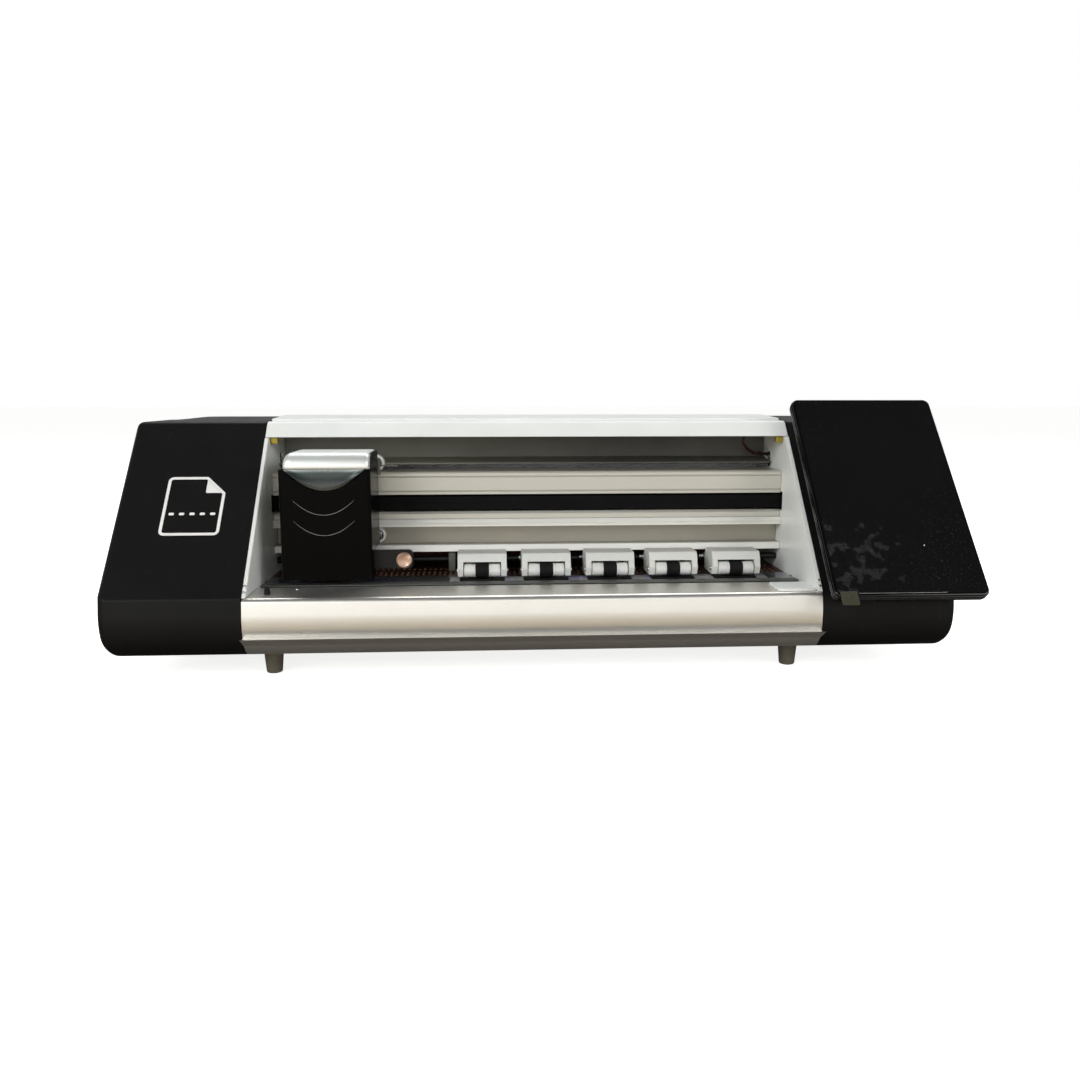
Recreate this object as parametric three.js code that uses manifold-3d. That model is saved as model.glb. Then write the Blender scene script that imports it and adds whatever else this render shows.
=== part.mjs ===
// A desktop vinyl and film cutter: two end caps joined by a beam, a rail and a silver front extrusion,
// a belt-driven tool carriage, a driven feed shaft under five sprung pinch rollers, and a flat touch screen.
// Millimetres, +X right, +Y back, +Z up. Sizes are first worked out from the crease of the front face
// (y = 0) and the ground (z = 0); the last lines put the origin at the middle of the footprint.
import * as THREE from 'three';
import { mergeVertices } from 'three/addons/utils/BufferGeometryUtils.js';
import Module from 'manifold-3d';

const wasm = await Module();
wasm.setup();

// ---------------------------------------------------------------- driving dimensions
// Body section, front to back and up
const BODY_WIDTH = 620;
const CAP_WIDTH = 101;
const FOOT_HEIGHT = 20;
const CREASE_HEIGHT = 64;
const TOP_HEIGHT = 185;
const SLOPE_RUN = 102;
const TOP_DEPTH = 72;
const TOP_RISE = 3;
const NOSE_BULGE = 3;
const NOSE_CURL = 12;
const CAP_WALL = 2.5;
const CAP_EDGE_ROUND = 6;
const TOP_REAR_ROUND = 8;
const BROW_ROUND = 6;
const CREASE_ROUND = 4;
const NOSE_ROUND = 12;
const CURL_ROUND = 9;
const UNDERSIDE_ROUND = 6;
const NOSE_LIFT = 2;
const CURL_HEIGHT = 7;
const CURL_SETBACK = 1;

// Sheet metal and extrusions: JOIN is how far joined shapes run into each other, CUT how far a cut runs past
const GAP = 0.3;
const JOIN = 1;
const CUT = 2;
const PLATE = 3;
const SHEET = 2.5;
const EXTRUSION_WALL = 2.2;
const EXTRUSION_TIP_ROUND = 0.5;
const SIDE_PLATE_SETBACK = 0.5;
const BELT_SLOT_MARGIN = 4;
const BELT_SLOT_HEADROOM = 1;
const FLANGE_BEHIND_CARRIAGE = 4;
const BEAM_HEIGHT = 12;
const BEAM_DEPTH = 16;
const BEAM_SETBACK = 0.3;
const BEAM_EDGE_ROOT = 0.8;
const BEAM_EDGE_DEPTH = 2.3;
const BEAM_EDGE_DROP = 1.4;
const CORNER_BLOCK_SIZE = 6;
const CORNER_BLOCK_HEIGHT = 5;
const CORNER_BLOCK_SETBACK = 4;
const COVER_STEP = 1.2;
const COVER_BEND = 4.5;
const EXIT_SLOT_LOW = 56;
const EXIT_SLOT_HIGH = 84;
const BAFFLE_FROM_REAR = 24;
const BAFFLE_HEIGHT = 32;
const BAFFLE_LIP = 26;
const BAFFLE_LIP_DROP = 3;
const BAFFLE_THICKNESS = 1.5;
const BASE_FROM_CURL = 2;

// Gantry rail
const RAIL_AHEAD_OF_BROW = 5;
const RAIL_DEPTH = 30;
const RAIL_TOP = 145;
const RAIL_WALL = 3;
const RAIL_LEDGE = 4;
const LEDGE_HEIGHT = 6;
const LEDGE_FROM_TOP = 44;
const TRACK_HEIGHT = 15;
const LIP_HEIGHT = 5.5;
const LIP_SETBACK = 1;
const TRACK_DEPTH = 9;
const RAIL_CHAMFER = 1;
const BELT_GROOVE_MARGIN = 1.6;
const BELT_GROOVE_DEPTH = 2;

// Belt and its pulleys
const BELT_WIDTH = 10.6;
const BELT_THICKNESS = 1.4;
const BELT_FROM_TOP = 20;
const PULLEY_RADIUS = 7.9;
const PULLEY_FLANGE = 1;
const PULLEY_FLANGE_REACH = 1.2;
const PULLEY_OFFSET = 27;
const BELT_SETBACK = 0.4;

// Feed line
const FEED_TO_RAIL = 33;
const SHAFT_RADIUS = 4;
const SLEEVE_RADIUS = 8;
const SLEEVE_WIDTH = 34;
const SLEEVE_CLEARANCE = 0.8;
const PLATEN_THICKNESS = 2.2;
const BEARING_RADIUS = 8;
const BEARING_WIDTH = 5;
const COUPLING_RADIUS = 9;
const STRIP_THICKNESS = 1;
const STRIP_WIDTH = 9;
const STRIP_LEAD = 1;
const STRIP_MARGIN = 1;
const GUIDE_THICKNESS = 1.5;
const GUIDE_CLEARANCE = 1;
const GUIDE_BEHIND_FEED = 16;

// Pinch units
const PINCH_COUNT = 5;
const PINCH_PITCH = 50;
const PINCH_MARGIN = 45.5;
const ARM_WIDTH = 38;
const ARM_CHEEK = 4.3;
const ARM_REACH = 40;
const ARM_TOP = 84;
const PIVOT_HEIGHT = 73;
const PIVOT_RADIUS = 2.5;
const PIVOT_BOSS = 5.6;
const TYRE_RADIUS = 6.3;
const TYRE_WIDTH = 10.5;
const HUB_RADIUS = 5.2;
const AXLE_RADIUS = 1.5;
const HUB_CLEARANCE = 0.6;
const ARM_NOSE = 5.5;
const ARM_NECK = 20;
const ARM_NOSE_SLANT = 5;
const ARM_CHEEK_DROP = 4.5;
const ARM_CHEEK_LIFT = 2;
const ARM_TAIL_INSET = 9;
const ARM_BOSS_INSET = 6;
const ROOF_CLEARANCE = 0.7;

// Tool carriage
const CARRIAGE_WIDTH = 67;
const CARRIAGE_PARK_GAP = 18.5;
const CARRIAGE_REACH = 63;
const CARRIAGE_BOTTOM = 70;
const CARRIAGE_COVER_TOP = 152;
const CARRIAGE_TOP = 167;
const CARRIAGE_CHIN_DEPTH = 20;
const CARRIAGE_CHIN_HEIGHT = 20;
const COVER_WALL = 2;
const TONGUE_DROP = 16;
const HOOD_OVERHANG = 0.5;
const HOOD_WALL = 2;
const HOOD_ROUND = 11;
const HOOD_REAR_ROUND = 3;
const CHIN_ROUND = 4;
const SLED_THICKNESS = 3.5;
const SLED_TO_RAIL = 9.5;
const WHEEL_RADIUS = 6.7;
const WHEEL_WIDTH = 7;
const WHEEL_SPREAD = 30;
const UPPER_WHEEL_SETBACK = 3;
const LOWER_WHEEL_SETBACK = 0.8;
const WHEEL_EDGE = 0.8;
const WHEEL_EAR_HALF = 5;
const SLED_MARGIN = 1;
const BELT_CLAMP_HALF = 9;
const BELT_CLAMP_RISE = 4;
const TOOL_GUIDE_MARGIN = 5;
const WHEEL_PIN_RADIUS = 2.2;
const HOLDER_SIZE = 14;
const HOLDER_LIFT = 8;
const HOLDER_HEIGHT = 46;
const BLADE_CAP_HEIGHT = 4;
const BLADE_CAP_REACH = 1.4;
const BLADE_TIP_RADIUS = 1;
const BLADE_HOLDER_RADIUS = 4.5;
const BLADE_SETBACK = 12;
const HOLDER_BEHIND_BLADE = 8;
const TOOL_LIFT = 3;
const TOOL_ARM_LENGTH = 29;
const TOOL_ARM_HEIGHT = 14;
const TOOL_ARM_THICKNESS = 4;
const TOOL_ARM_ROOT = 8;
const TOOL_ARM_RISE = 12;
const TOOL_ARM_RISER = 6;
const TOOL_ARM_FOOT = 9;
const THUMB_SCREW_RADIUS = 6;
const THUMB_SCREW_LENGTH = 5;
const THUMB_SCREW_EDGE = 0.8;
const THUMB_SCREW_FROM_END = 6.5;
const THUMB_PIN_RADIUS = 2;

// Touch screen
const SCREEN_WIDTH = 114;
const SCREEN_HEIGHT = 180;
const SCREEN_THICKNESS = 10;
const GLASS_THICKNESS = 1.5;
const SCREEN_STANDOFF = 8;
const SCREEN_ABOVE_TOP = 8;
const SCREEN_CORNER = 6;
const SCREEN_FROM_PLATE = 0.4;
const GLASS_INSET = 0.6;
const SCREEN_BRACKET_WIDTH = 57;
const SCREEN_BRACKET_HEIGHT = 79;
const SCREEN_BRACKET_ROUND = 4;

// Feet, motors and electrics
const FOOT_TOP_RADIUS = 7.6;
const FOOT_TIP_RADIUS = 5.9;
const FOOT_INSET = 13;
const FOOT_FROM_FLANGE = 2;
const FOOT_EDGE = 1;
const FOOT_REAR_INSET = 26;
const MOTOR_SIZE = 42;
const MOTOR_LENGTH = 34;
const MOTOR_SHAFT_RADIUS = 2.5;
const MOTOR_CHAMFER = 4;
const MOTOR_BOSS_RADIUS = 11;
const MOTOR_BOSS_HEIGHT = 2;
const MOTOR_BRACKET = 2.5;
const MOTOR_BRACKET_DROP = 26;
const IDLER_BRACKET_DROP = 22;
const IDLER_BRACKET_HALF = 12;
const PULLEY_LIFT = 2;
const FEED_POST_RADIUS = 3;
const FEED_POST_PLACE = 15.5;
const SHAFT_OVERHANG = 5;
const SHAFT_END_GAP = 2;
const COUPLING_HALF = 9;
const BOARD_HEIGHT = 84;
const BOARD_DEPTH = 74;
const BOARD_THICKNESS = 1.6;
const BOARD_STAND = 6;
const BOARD_POST_RADIUS = 2.6;
const BOARD_POST_INSET = 5;
const BOARD_FROM_REAR = 12;
const BOARD_FROM_UNDERSIDE = 14;
const INLET_WIDTH = 50;
const INLET_HEIGHT = 28;
const INLET_RIM = 2.2;
const INLET_FLANGE = 2.2;
const INLET_BODY_DEPTH = 24;
const SOCKET_WIDTH = 24.5;
const SOCKET_HEIGHT = 16.8;
const SOCKET_DEPTH = 17;
const SOCKET_MARGIN = 4;
const PIN_HALF_WIDTH = 1;
const PIN_HALF_HEIGHT = 1.4;
const PIN_LENGTH = 11;
const PIN_SPACING = 7;
const EARTH_PIN_LIFT = 3;
const ROCKER_WIDTH = 11;
const ROCKER_HEIGHT = 19;
const ROCKER_TILT = 7;
const ROCKER_MARGIN = 4.5;
const ROCKER_BAY_DEPTH = 10;
const ROCKER_SETBACK = 1.6;
const USB_WIDTH = 14;
const USB_HEIGHT = 8;
const USB_DEPTH = 14;
const USB_WALL = 0.8;
const USB_MOUTH_DEPTH = 11;
const INLET_FROM_PLATE = 41;
const INLET_ABOVE_BASE = 24;
const USB_FROM_INLET = 40;
const LAMP_WIDTH = 5.4;
const LAMP_MARGIN = 8;
const LAMP_THICKNESS = 2.5;
const WIRE_RADIUS = 1.1;
const WIRE_HOLE_RADIUS = 4;
const WIRE_DROP = 17;
const WIRE_LEAD = 30;
const WIRE_SLACK = 14;
const WIRE_OVERHANG = 8;
const WIRE_TO_BAFFLE = 12;
const FEED_MOTOR_GAP = 27;

// ---------------------------------------------------------------- derived places
const UNDERSIDE = FOOT_HEIGHT;
const REAR = SLOPE_RUN + TOP_DEPTH;
const HALF_BODY = BODY_WIDTH / 2;
const HALF_OPENING = HALF_BODY - CAP_WIDTH;
const HALF_INSIDE = HALF_OPENING - PLATE;
const SPAN = 2 * (HALF_OPENING - GAP);
const INNER_SPAN = 2 * (HALF_INSIDE - GAP);
const SLOPE_ANGLE = Math.atan2(TOP_HEIGHT - CREASE_HEIGHT, SLOPE_RUN);
const SLOPE_LENGTH = Math.hypot(TOP_HEIGHT - CREASE_HEIGHT, SLOPE_RUN);
const RAIL_FRONT = SLOPE_RUN - RAIL_AHEAD_OF_BROW;
const FEED_Y = RAIL_FRONT - FEED_TO_RAIL;
const GUIDE_START = FEED_Y + GUIDE_BEHIND_FEED;
const CARRIAGE_FRONT = RAIL_FRONT - CARRIAGE_REACH;
const FRONT_FLANGE = CARRIAGE_FRONT + FLANGE_BEHIND_CARRIAGE;
const BEAM_BOTTOM = TOP_HEIGHT - BEAM_HEIGHT;
const BEAM_REAR = SLOPE_RUN + BEAM_DEPTH;
const LEDGE_BOTTOM = RAIL_TOP - LEDGE_FROM_TOP;
const LIP_TOP = LEDGE_BOTTOM - TRACK_HEIGHT;
const RAIL_BOTTOM = LIP_TOP - LIP_HEIGHT;
const BELT_TOP = RAIL_TOP - BELT_FROM_TOP;
const BELT_MIDDLE = BELT_TOP - BELT_WIDTH / 2;
const BELT_INNER = PULLEY_RADIUS + GAP;
const BELT_OUTER = BELT_INNER + BELT_THICKNESS;
const PULLEY_Y = RAIL_FRONT + BELT_OUTER + BELT_SETBACK;
const PULLEY_HEIGHT = BELT_WIDTH + 2 * (GAP + PULLEY_FLANGE);
const FILM_HEIGHT = CREASE_HEIGHT;
const PLATEN_TOP = FILM_HEIGHT - GAP;
const SHAFT_Z = FILM_HEIGHT - SLEEVE_RADIUS;
const BED_BOTTOM = UNDERSIDE + EXTRUSION_WALL + GAP;
const WINDOW_HALF = SLEEVE_RADIUS + SLEEVE_CLEARANCE;
const ROLLER_Z = FILM_HEIGHT + GAP + TYRE_RADIUS;
const PIVOT_Y = FEED_Y + ARM_REACH;
const LAST_PINCH_X = HALF_INSIDE - PINCH_MARGIN;
const CARRIAGE_X = -HALF_INSIDE + CARRIAGE_PARK_GAP + CARRIAGE_WIDTH / 2;
const BLADE_Y = CARRIAGE_FRONT + BLADE_SETBACK;
const FRONT_SLOT_EDGE = FRONT_FLANGE + GAP;
const SLED_Y = RAIL_FRONT - SLED_THICKNESS - SLED_TO_RAIL;
const HOLDER_REAR = BLADE_Y + HOLDER_BEHIND_BLADE;
const TOOL_ARM_Y = BLADE_Y + 1;
const TOOL_ARM_Z = CARRIAGE_BOTTOM + CARRIAGE_CHIN_HEIGHT - TOOL_ARM_HEIGHT / 2;
const WIRE_EXIT_Y = REAR - BAFFLE_FROM_REAR - WIRE_TO_BAFFLE;
const WIRE_EXIT_Z = BEAM_BOTTOM - WIRE_DROP;
const INLET_X = HALF_OPENING + INLET_FROM_PLATE;
const INLET_Z = UNDERSIDE + INLET_ABOVE_BASE;
const USB_X = INLET_X + USB_FROM_INLET;
const USB_Z = INLET_Z;

/** Each carriage wheel: name, x and z of its pin, and the y of its front face. */
const WHEELS = [
  ['upper_left_wheel', -WHEEL_SPREAD, RAIL_TOP + GAP + WHEEL_RADIUS, RAIL_FRONT + UPPER_WHEEL_SETBACK],
  ['upper_right_wheel', WHEEL_SPREAD, RAIL_TOP + GAP + WHEEL_RADIUS, RAIL_FRONT + UPPER_WHEEL_SETBACK],
  ['lower_left_wheel', -WHEEL_SPREAD, LEDGE_BOTTOM - GAP - WHEEL_RADIUS, RAIL_FRONT + LOWER_WHEEL_SETBACK],
  ['lower_right_wheel', WHEEL_SPREAD, LEDGE_BOTTOM - GAP - WHEEL_RADIUS, RAIL_FRONT + LOWER_WHEEL_SETBACK],
];

/** The x of each pinch unit, left to right. */
const PINCH_X = Array.from(
  { length: PINCH_COUNT },
  (_, index) => LAST_PINCH_X - (PINCH_COUNT - 1 - index) * PINCH_PITCH,
);

/** Depth of the slanted front plane at height z. */
function slopeY(z) {
  return ((z - CREASE_HEIGHT) * SLOPE_RUN) / (TOP_HEIGHT - CREASE_HEIGHT);
}

/** Height of the flat top at depth y: it rises a little to the back. */
function topZ(y) {
  return TOP_HEIGHT + (TOP_RISE * (y - SLOPE_RUN)) / TOP_DEPTH;
}

// ---------------------------------------------------------------- finishes
const FINISH = {
  capBlack: { color: 0x202022, roughness: 0.42, metalness: 0.0 },
  white: { color: 0xe9e9e6, roughness: 0.4, metalness: 0.0 },
  silver: { color: 0xd4d2cf, roughness: 0.25, metalness: 0.85 },
  railSilver: { color: 0xc9c9c6, roughness: 0.4, metalness: 0.6 },
  steel: { color: 0xb9bcc0, roughness: 0.25, metalness: 1.0 },
  zinc: { color: 0xa89a40, roughness: 0.4, metalness: 0.7 },
  greyPlate: { color: 0x9a9b9c, roughness: 0.5, metalness: 0.3 },
  rubber: { color: 0x141414, roughness: 0.8, metalness: 0.0 },
  nylon: { color: 0xe6e6e0, roughness: 0.45, metalness: 0.0 },
  gloss: { color: 0x0a0a0c, roughness: 0.08, metalness: 0.0 },
  moulded: { color: 0x1a1a1c, roughness: 0.5, metalness: 0.0 },
  topSilver: { color: 0xa9abae, roughness: 0.3, metalness: 0.8 },
  copper: { color: 0xc28f74, roughness: 0.3, metalness: 1.0 },
  foot: { color: 0xa8a096, roughness: 0.55, metalness: 0.0 },
  brown: { color: 0x3a1c12, roughness: 0.5, metalness: 0.0 },
  board: { color: 0x1d5a34, roughness: 0.5, metalness: 0.0 },
  lamp: { color: 0xf4f4ea, roughness: 0.4, metalness: 0.0 },
  wire: { color: 0x5a1414, roughness: 0.5, metalness: 0.0 },
};

// ---------------------------------------------------------------- shape helpers
const AXES = {
  x: new THREE.Matrix4().makeBasis(
    new THREE.Vector3(0, 1, 0), new THREE.Vector3(0, 0, 1), new THREE.Vector3(1, 0, 0)),
  y: new THREE.Matrix4().makeBasis(
    new THREE.Vector3(0, 0, 1), new THREE.Vector3(1, 0, 0), new THREE.Vector3(0, 1, 0)),
  z: new THREE.Matrix4(),
};

/** A box between two opposite corners. */
function box(low, high) {
  const size = high.map((value, axis) => value - low[axis]);
  const geometry = new THREE.BoxGeometry(...size);
  return geometry.translate(...low.map((value, axis) => value + size[axis] / 2));
}

/** A solid of revolution about an axis through the origin; the profile is [radius, along] pairs. */
function turned(axis, profile, segments = 20) {
  const points = profile.map(([radius, along]) => new THREE.Vector2(radius, along));
  const geometry = new THREE.LatheGeometry(points, segments);
  geometry.rotateX(Math.PI / 2);
  return geometry.applyMatrix4(AXES[axis]);
}

/** A round bar along an axis, from one place to another. */
function rod(axis, radius, from, to, segments = 20) {
  return turned(axis, [[0, from], [radius, from], [radius, to], [0, to]], segments);
}

/** A ring along an axis. */
function ring(axis, inner, outer, from, to, segments = 24) {
  const loop = [[inner, from], [outer, from], [outer, to], [inner, to], [inner, from]];
  return turned(axis, loop, segments);
}

/** A flat outline pushed along an axis: (y, z) along x, (z, x) along y and (x, y) along z. */
function pushed(axis, points, from, to, holes = []) {
  const shape = new THREE.Shape(points.map(([a, b]) => new THREE.Vector2(a, b)));
  for (const hole of holes) {
    shape.holes.push(new THREE.Path(hole.map(([a, b]) => new THREE.Vector2(a, b))));
  }
  const geometry = new THREE.ExtrudeGeometry(shape, { depth: to - from, bevelEnabled: false, steps: 1 });
  geometry.translate(0, 0, from);
  return geometry.applyMatrix4(AXES[axis]);
}

/** Points of a circle, for an outline or a hole. */
function circle(a, b, radius, count = 20) {
  return Array.from({ length: count }, (_, index) => {
    const turn = (2 * Math.PI * index) / count;
    return [a + radius * Math.cos(turn), b + radius * Math.sin(turn)];
  });
}

/** A closed outline from corners [a, b, radius], with each corner rounded by an arc. */
function rounded(corners, steps = 4) {
  const points = [];
  corners.forEach(([a, b, radius = 0], index) => {
    const here = new THREE.Vector2(a, b);
    const before = new THREE.Vector2(...corners.at(index - 1).slice(0, 2));
    const after = new THREE.Vector2(...corners[(index + 1) % corners.length].slice(0, 2));
    const inward = before.clone().sub(here).normalize();
    const outward = after.clone().sub(here).normalize();
    const half = Math.acos(THREE.MathUtils.clamp(inward.dot(outward), -1, 1)) / 2;
    const reach = radius / Math.tan(half);
    if (radius <= 0) {
      points.push([a, b]);
      return;
    }
    const start = here.clone().addScaledVector(inward, reach);
    const end = here.clone().addScaledVector(outward, reach);
    const curve = new THREE.QuadraticBezierCurve(start, here, end);
    for (const point of curve.getPoints(steps)) {
      points.push([point.x, point.y]);
    }
  });
  return points;
}

/** Corners of a convex outline moved inward by a distance, with radii to suit. */
function inset(corners, distance) {
  const edge = (index) => {
    const [ax, ay] = corners.at(index);
    const [bx, by] = corners[(index + 1 + corners.length) % corners.length];
    const length = Math.hypot(bx - ax, by - ay);
    const normal = [-(by - ay) / length, (bx - ax) / length];
    return { normal, offset: normal[0] * ax + normal[1] * ay + distance };
  };
  return corners.map(([, , radius = 0], index) => {
    const one = edge(index - 1);
    const two = edge(index);
    const det = one.normal[0] * two.normal[1] - one.normal[1] * two.normal[0];
    const a = (one.offset * two.normal[1] - two.offset * one.normal[1]) / det;
    const b = (two.offset * one.normal[0] - one.offset * two.normal[0]) / det;
    return [a, b, Math.max(radius - distance, 0.5)];
  });
}

/** A closed geometry as a manifold-3d solid. */
function solid(geometry) {
  const bare = geometry.clone();
  bare.deleteAttribute('normal');
  bare.deleteAttribute('uv');
  const merged = mergeVertices(bare, 1e-4);
  return new wasm.Manifold(new wasm.Mesh({
    numProp: 3,
    vertProperties: new Float32Array(merged.attributes.position.array),
    triVerts: new Uint32Array(merged.index.array),
  }));
}

/** Joins geometries into one solid, then takes others away from it. */
function shaped(joined, removed = []) {
  let body = solid(joined[0]);
  for (const geometry of joined.slice(1)) {
    body = body.add(solid(geometry));
  }
  for (const geometry of removed) {
    body = body.subtract(solid(geometry));
  }
  return fromSolid(body);
}

/** A manifold-3d solid as a three.js geometry. */
function fromSolid(body) {
  const mesh = body.getMesh();
  const geometry = new THREE.BufferGeometry();
  geometry.setAttribute('position', new THREE.BufferAttribute(mesh.vertProperties, 3));
  geometry.setIndex(new THREE.BufferAttribute(mesh.triVerts, 1));
  const flat = geometry.toNonIndexed();
  flat.computeVertexNormals();
  return flat;
}

/** A named part with its finish, placed in its group. */
function part(name, geometry, finish, place = [0, 0, 0]) {
  const mesh = new THREE.Mesh(geometry, new THREE.MeshStandardMaterial(FINISH[finish]));
  mesh.name = name;
  mesh.position.set(...place);
  return mesh;
}

/** A group of parts at a place. */
function assembly(place, ...parts) {
  const group = new THREE.Group();
  group.position.set(...place);
  group.add(...parts.flat());
  return group;
}

// ---------------------------------------------------------------- body section
/** Corners (y, z, radius) of the body section, anticlockwise from the rear top. */
function bodyCorners() {
  return [
    [REAR, topZ(REAR), TOP_REAR_ROUND],
    [SLOPE_RUN, TOP_HEIGHT, BROW_ROUND],
    [0, CREASE_HEIGHT, CREASE_ROUND],
    [-NOSE_BULGE, (CREASE_HEIGHT + UNDERSIDE) / 2 + NOSE_LIFT, NOSE_ROUND],
    [CURL_SETBACK, UNDERSIDE + CURL_HEIGHT, CURL_ROUND],
    [NOSE_CURL, UNDERSIDE, UNDERSIDE_ROUND],
    [REAR, UNDERSIDE, UNDERSIDE_ROUND],
  ];
}

/** A closed solid through outlines of equal point count, each at its own place along x. */
function lofted(loops, places) {
  const count = loops[0].length;
  const vertices = loops.flatMap((loop, index) => loop.flatMap(([a, b]) => [places[index], a, b]));
  const faces = [];
  for (let level = 0; level < loops.length - 1; level += 1) {
    for (let point = 0; point < count; point += 1) {
      const here = level * count + point;
      const next = level * count + ((point + 1) % count);
      faces.push(here, next, here + count, next, next + count, here + count);
    }
  }
  const lid = THREE.ShapeUtils.triangulateShape(loops[0].map(([a, b]) => new THREE.Vector2(a, b)), []);
  const last = (loops.length - 1) * count;
  for (const [one, two, three] of lid) {
    faces.push(one, three, two, last + one, last + two, last + three);
  }
  const geometry = new THREE.BufferGeometry();
  geometry.setAttribute('position', new THREE.Float32BufferAttribute(vertices, 3));
  geometry.setIndex(faces);
  return geometry;
}

/** The body section pushed along x to a far end that is rounded over. */
function roundedBlock(corners, from, to, round) {
  const steps = [0, 1, 2, 3].map((step) => (step * Math.PI) / 6);
  const loops = [rounded(corners), ...steps.map((turn) =>
    rounded(inset(corners, round * (1 - Math.cos(turn)))))];
  const places = [from, ...steps.map((turn) => to - round * (1 - Math.sin(turn)))];
  return lofted(loops, places);
}

/** A hollow end cap from its open side at x = 0 to its closed side at x = length, less some cut-outs. */
function capShell(cuts) {
  const length = CAP_WIDTH - GAP;
  const corners = bodyCorners();
  const outer = solid(roundedBlock(corners, 0, length, CAP_EDGE_ROUND));
  const inner = solid(roundedBlock(
    inset(corners, CAP_WALL), -CUT, length - CAP_WALL, CAP_EDGE_ROUND - CAP_WALL));
  let shell = outer.subtract(inner);
  for (const cut of cuts) {
    shell = shell.subtract(solid(cut));
  }
  return fromSolid(shell);
}

/** The right cap, with cut-outs for the power module and the data socket in its back wall. */
function rightCap() {
  const start = HALF_OPENING + GAP;
  const back = REAR - CAP_WALL - CUT;
  const inletHole = box(
    [INLET_X - INLET_WIDTH / 2 + INLET_RIM - start, back, INLET_Z - INLET_HEIGHT / 2 + INLET_RIM],
    [INLET_X + INLET_WIDTH / 2 - INLET_RIM - start, REAR + CUT, INLET_Z + INLET_HEIGHT / 2 - INLET_RIM]);
  const usbHole = box(
    [USB_X - USB_WIDTH / 2 - GAP - start, back, USB_Z - USB_HEIGHT / 2 - GAP],
    [USB_X + USB_WIDTH / 2 + GAP - start, REAR + CUT, USB_Z + USB_HEIGHT / 2 + GAP]);
  return part('right_end_cap', capShell([inletHole, usbHole]), 'capBlack', [start, 0, 0]);
}

/** The left cap is the same shell mirrored across x. */
function leftCap() {
  const shell = solid(capShell([])).mirror([1, 0, 0]);
  return part('left_end_cap', fromSolid(shell), 'capBlack', [-HALF_OPENING - GAP, 0, 0]);
}

/** Outline (y, z) of a side plate: flush with the slanted face, notched for the front extrusion. */
function sidePlateOutline() {
  const top = BEAM_BOTTOM - GAP;
  const underCover = COVER_STEP - SHEET - GAP;
  const beamRear = BEAM_REAR + 2 * GAP;
  return [
    [slopeY(top) + SIDE_PLATE_SETBACK, top],
    [slopeY(FILM_HEIGHT + GAP) + SIDE_PLATE_SETBACK, FILM_HEIGHT + GAP],
    [FRONT_SLOT_EDGE + GAP, FILM_HEIGHT + GAP],
    [FRONT_SLOT_EDGE + GAP, BED_BOTTOM],
    [REAR - SHEET - GAP, BED_BOTTOM],
    [REAR - SHEET - GAP, topZ(REAR) + underCover - COVER_BEND],
    [REAR - SHEET - COVER_BEND, topZ(REAR - SHEET - COVER_BEND) + underCover],
    [beamRear, topZ(beamRear) + underCover],
    [beamRear, top],
  ];
}

/** Holes (y, z) through a side plate: the belt slot, the shaft bearing and the lamp wire. */
function sidePlateHoles() {
  const slotLow = BELT_MIDDLE - PULLEY_HEIGHT / 2 - BELT_SLOT_HEADROOM;
  const slotHigh = BELT_MIDDLE + PULLEY_HEIGHT / 2 + BELT_SLOT_HEADROOM;
  const slotFront = PULLEY_Y - BELT_OUTER - BELT_SLOT_MARGIN;
  const slotRear = PULLEY_Y + BELT_OUTER + BELT_SLOT_MARGIN;
  return [
    [[slotFront, slotLow], [slotRear, slotLow], [slotRear, slotHigh], [slotFront, slotHigh]],
    circle(FEED_Y, SHAFT_Z, BEARING_RADIUS + GAP, 24),
    circle(WIRE_EXIT_Y, WIRE_EXIT_Z, WIRE_HOLE_RADIUS, 12),
  ];
}

/** Both side plates. */
function sidePlates() {
  return [['left_side_plate', -HALF_OPENING], ['right_side_plate', HALF_INSIDE]].map(([name, x]) =>
    part(name, pushed('x', sidePlateOutline(), 0, PLATE, sidePlateHoles()), 'white', [x, 0, 0]));
}

/** The silver front extrusion: a C section that makes the nose, the bed's front and a bottom flange. */
function frontExtrusion() {
  const corners = [
    [FRONT_FLANGE, FILM_HEIGHT, EXTRUSION_TIP_ROUND],
    ...bodyCorners().slice(2, 6),
    [FRONT_FLANGE, UNDERSIDE, EXTRUSION_TIP_ROUND],
  ];
  const hollow = inset(corners, EXTRUSION_WALL);
  const shell = shaped(
    [pushed('x', rounded(corners), -SPAN / 2, SPAN / 2)],
    [pushed('x', rounded(hollow), -SPAN, SPAN),
      box([-SPAN, FRONT_FLANGE - 2 * EXTRUSION_WALL - CUT, BED_BOTTOM - GAP],
        [SPAN, FRONT_FLANGE + CUT, FILM_HEIGHT - EXTRUSION_WALL])]);
  return part('front_extrusion', shell, 'silver');
}

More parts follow.
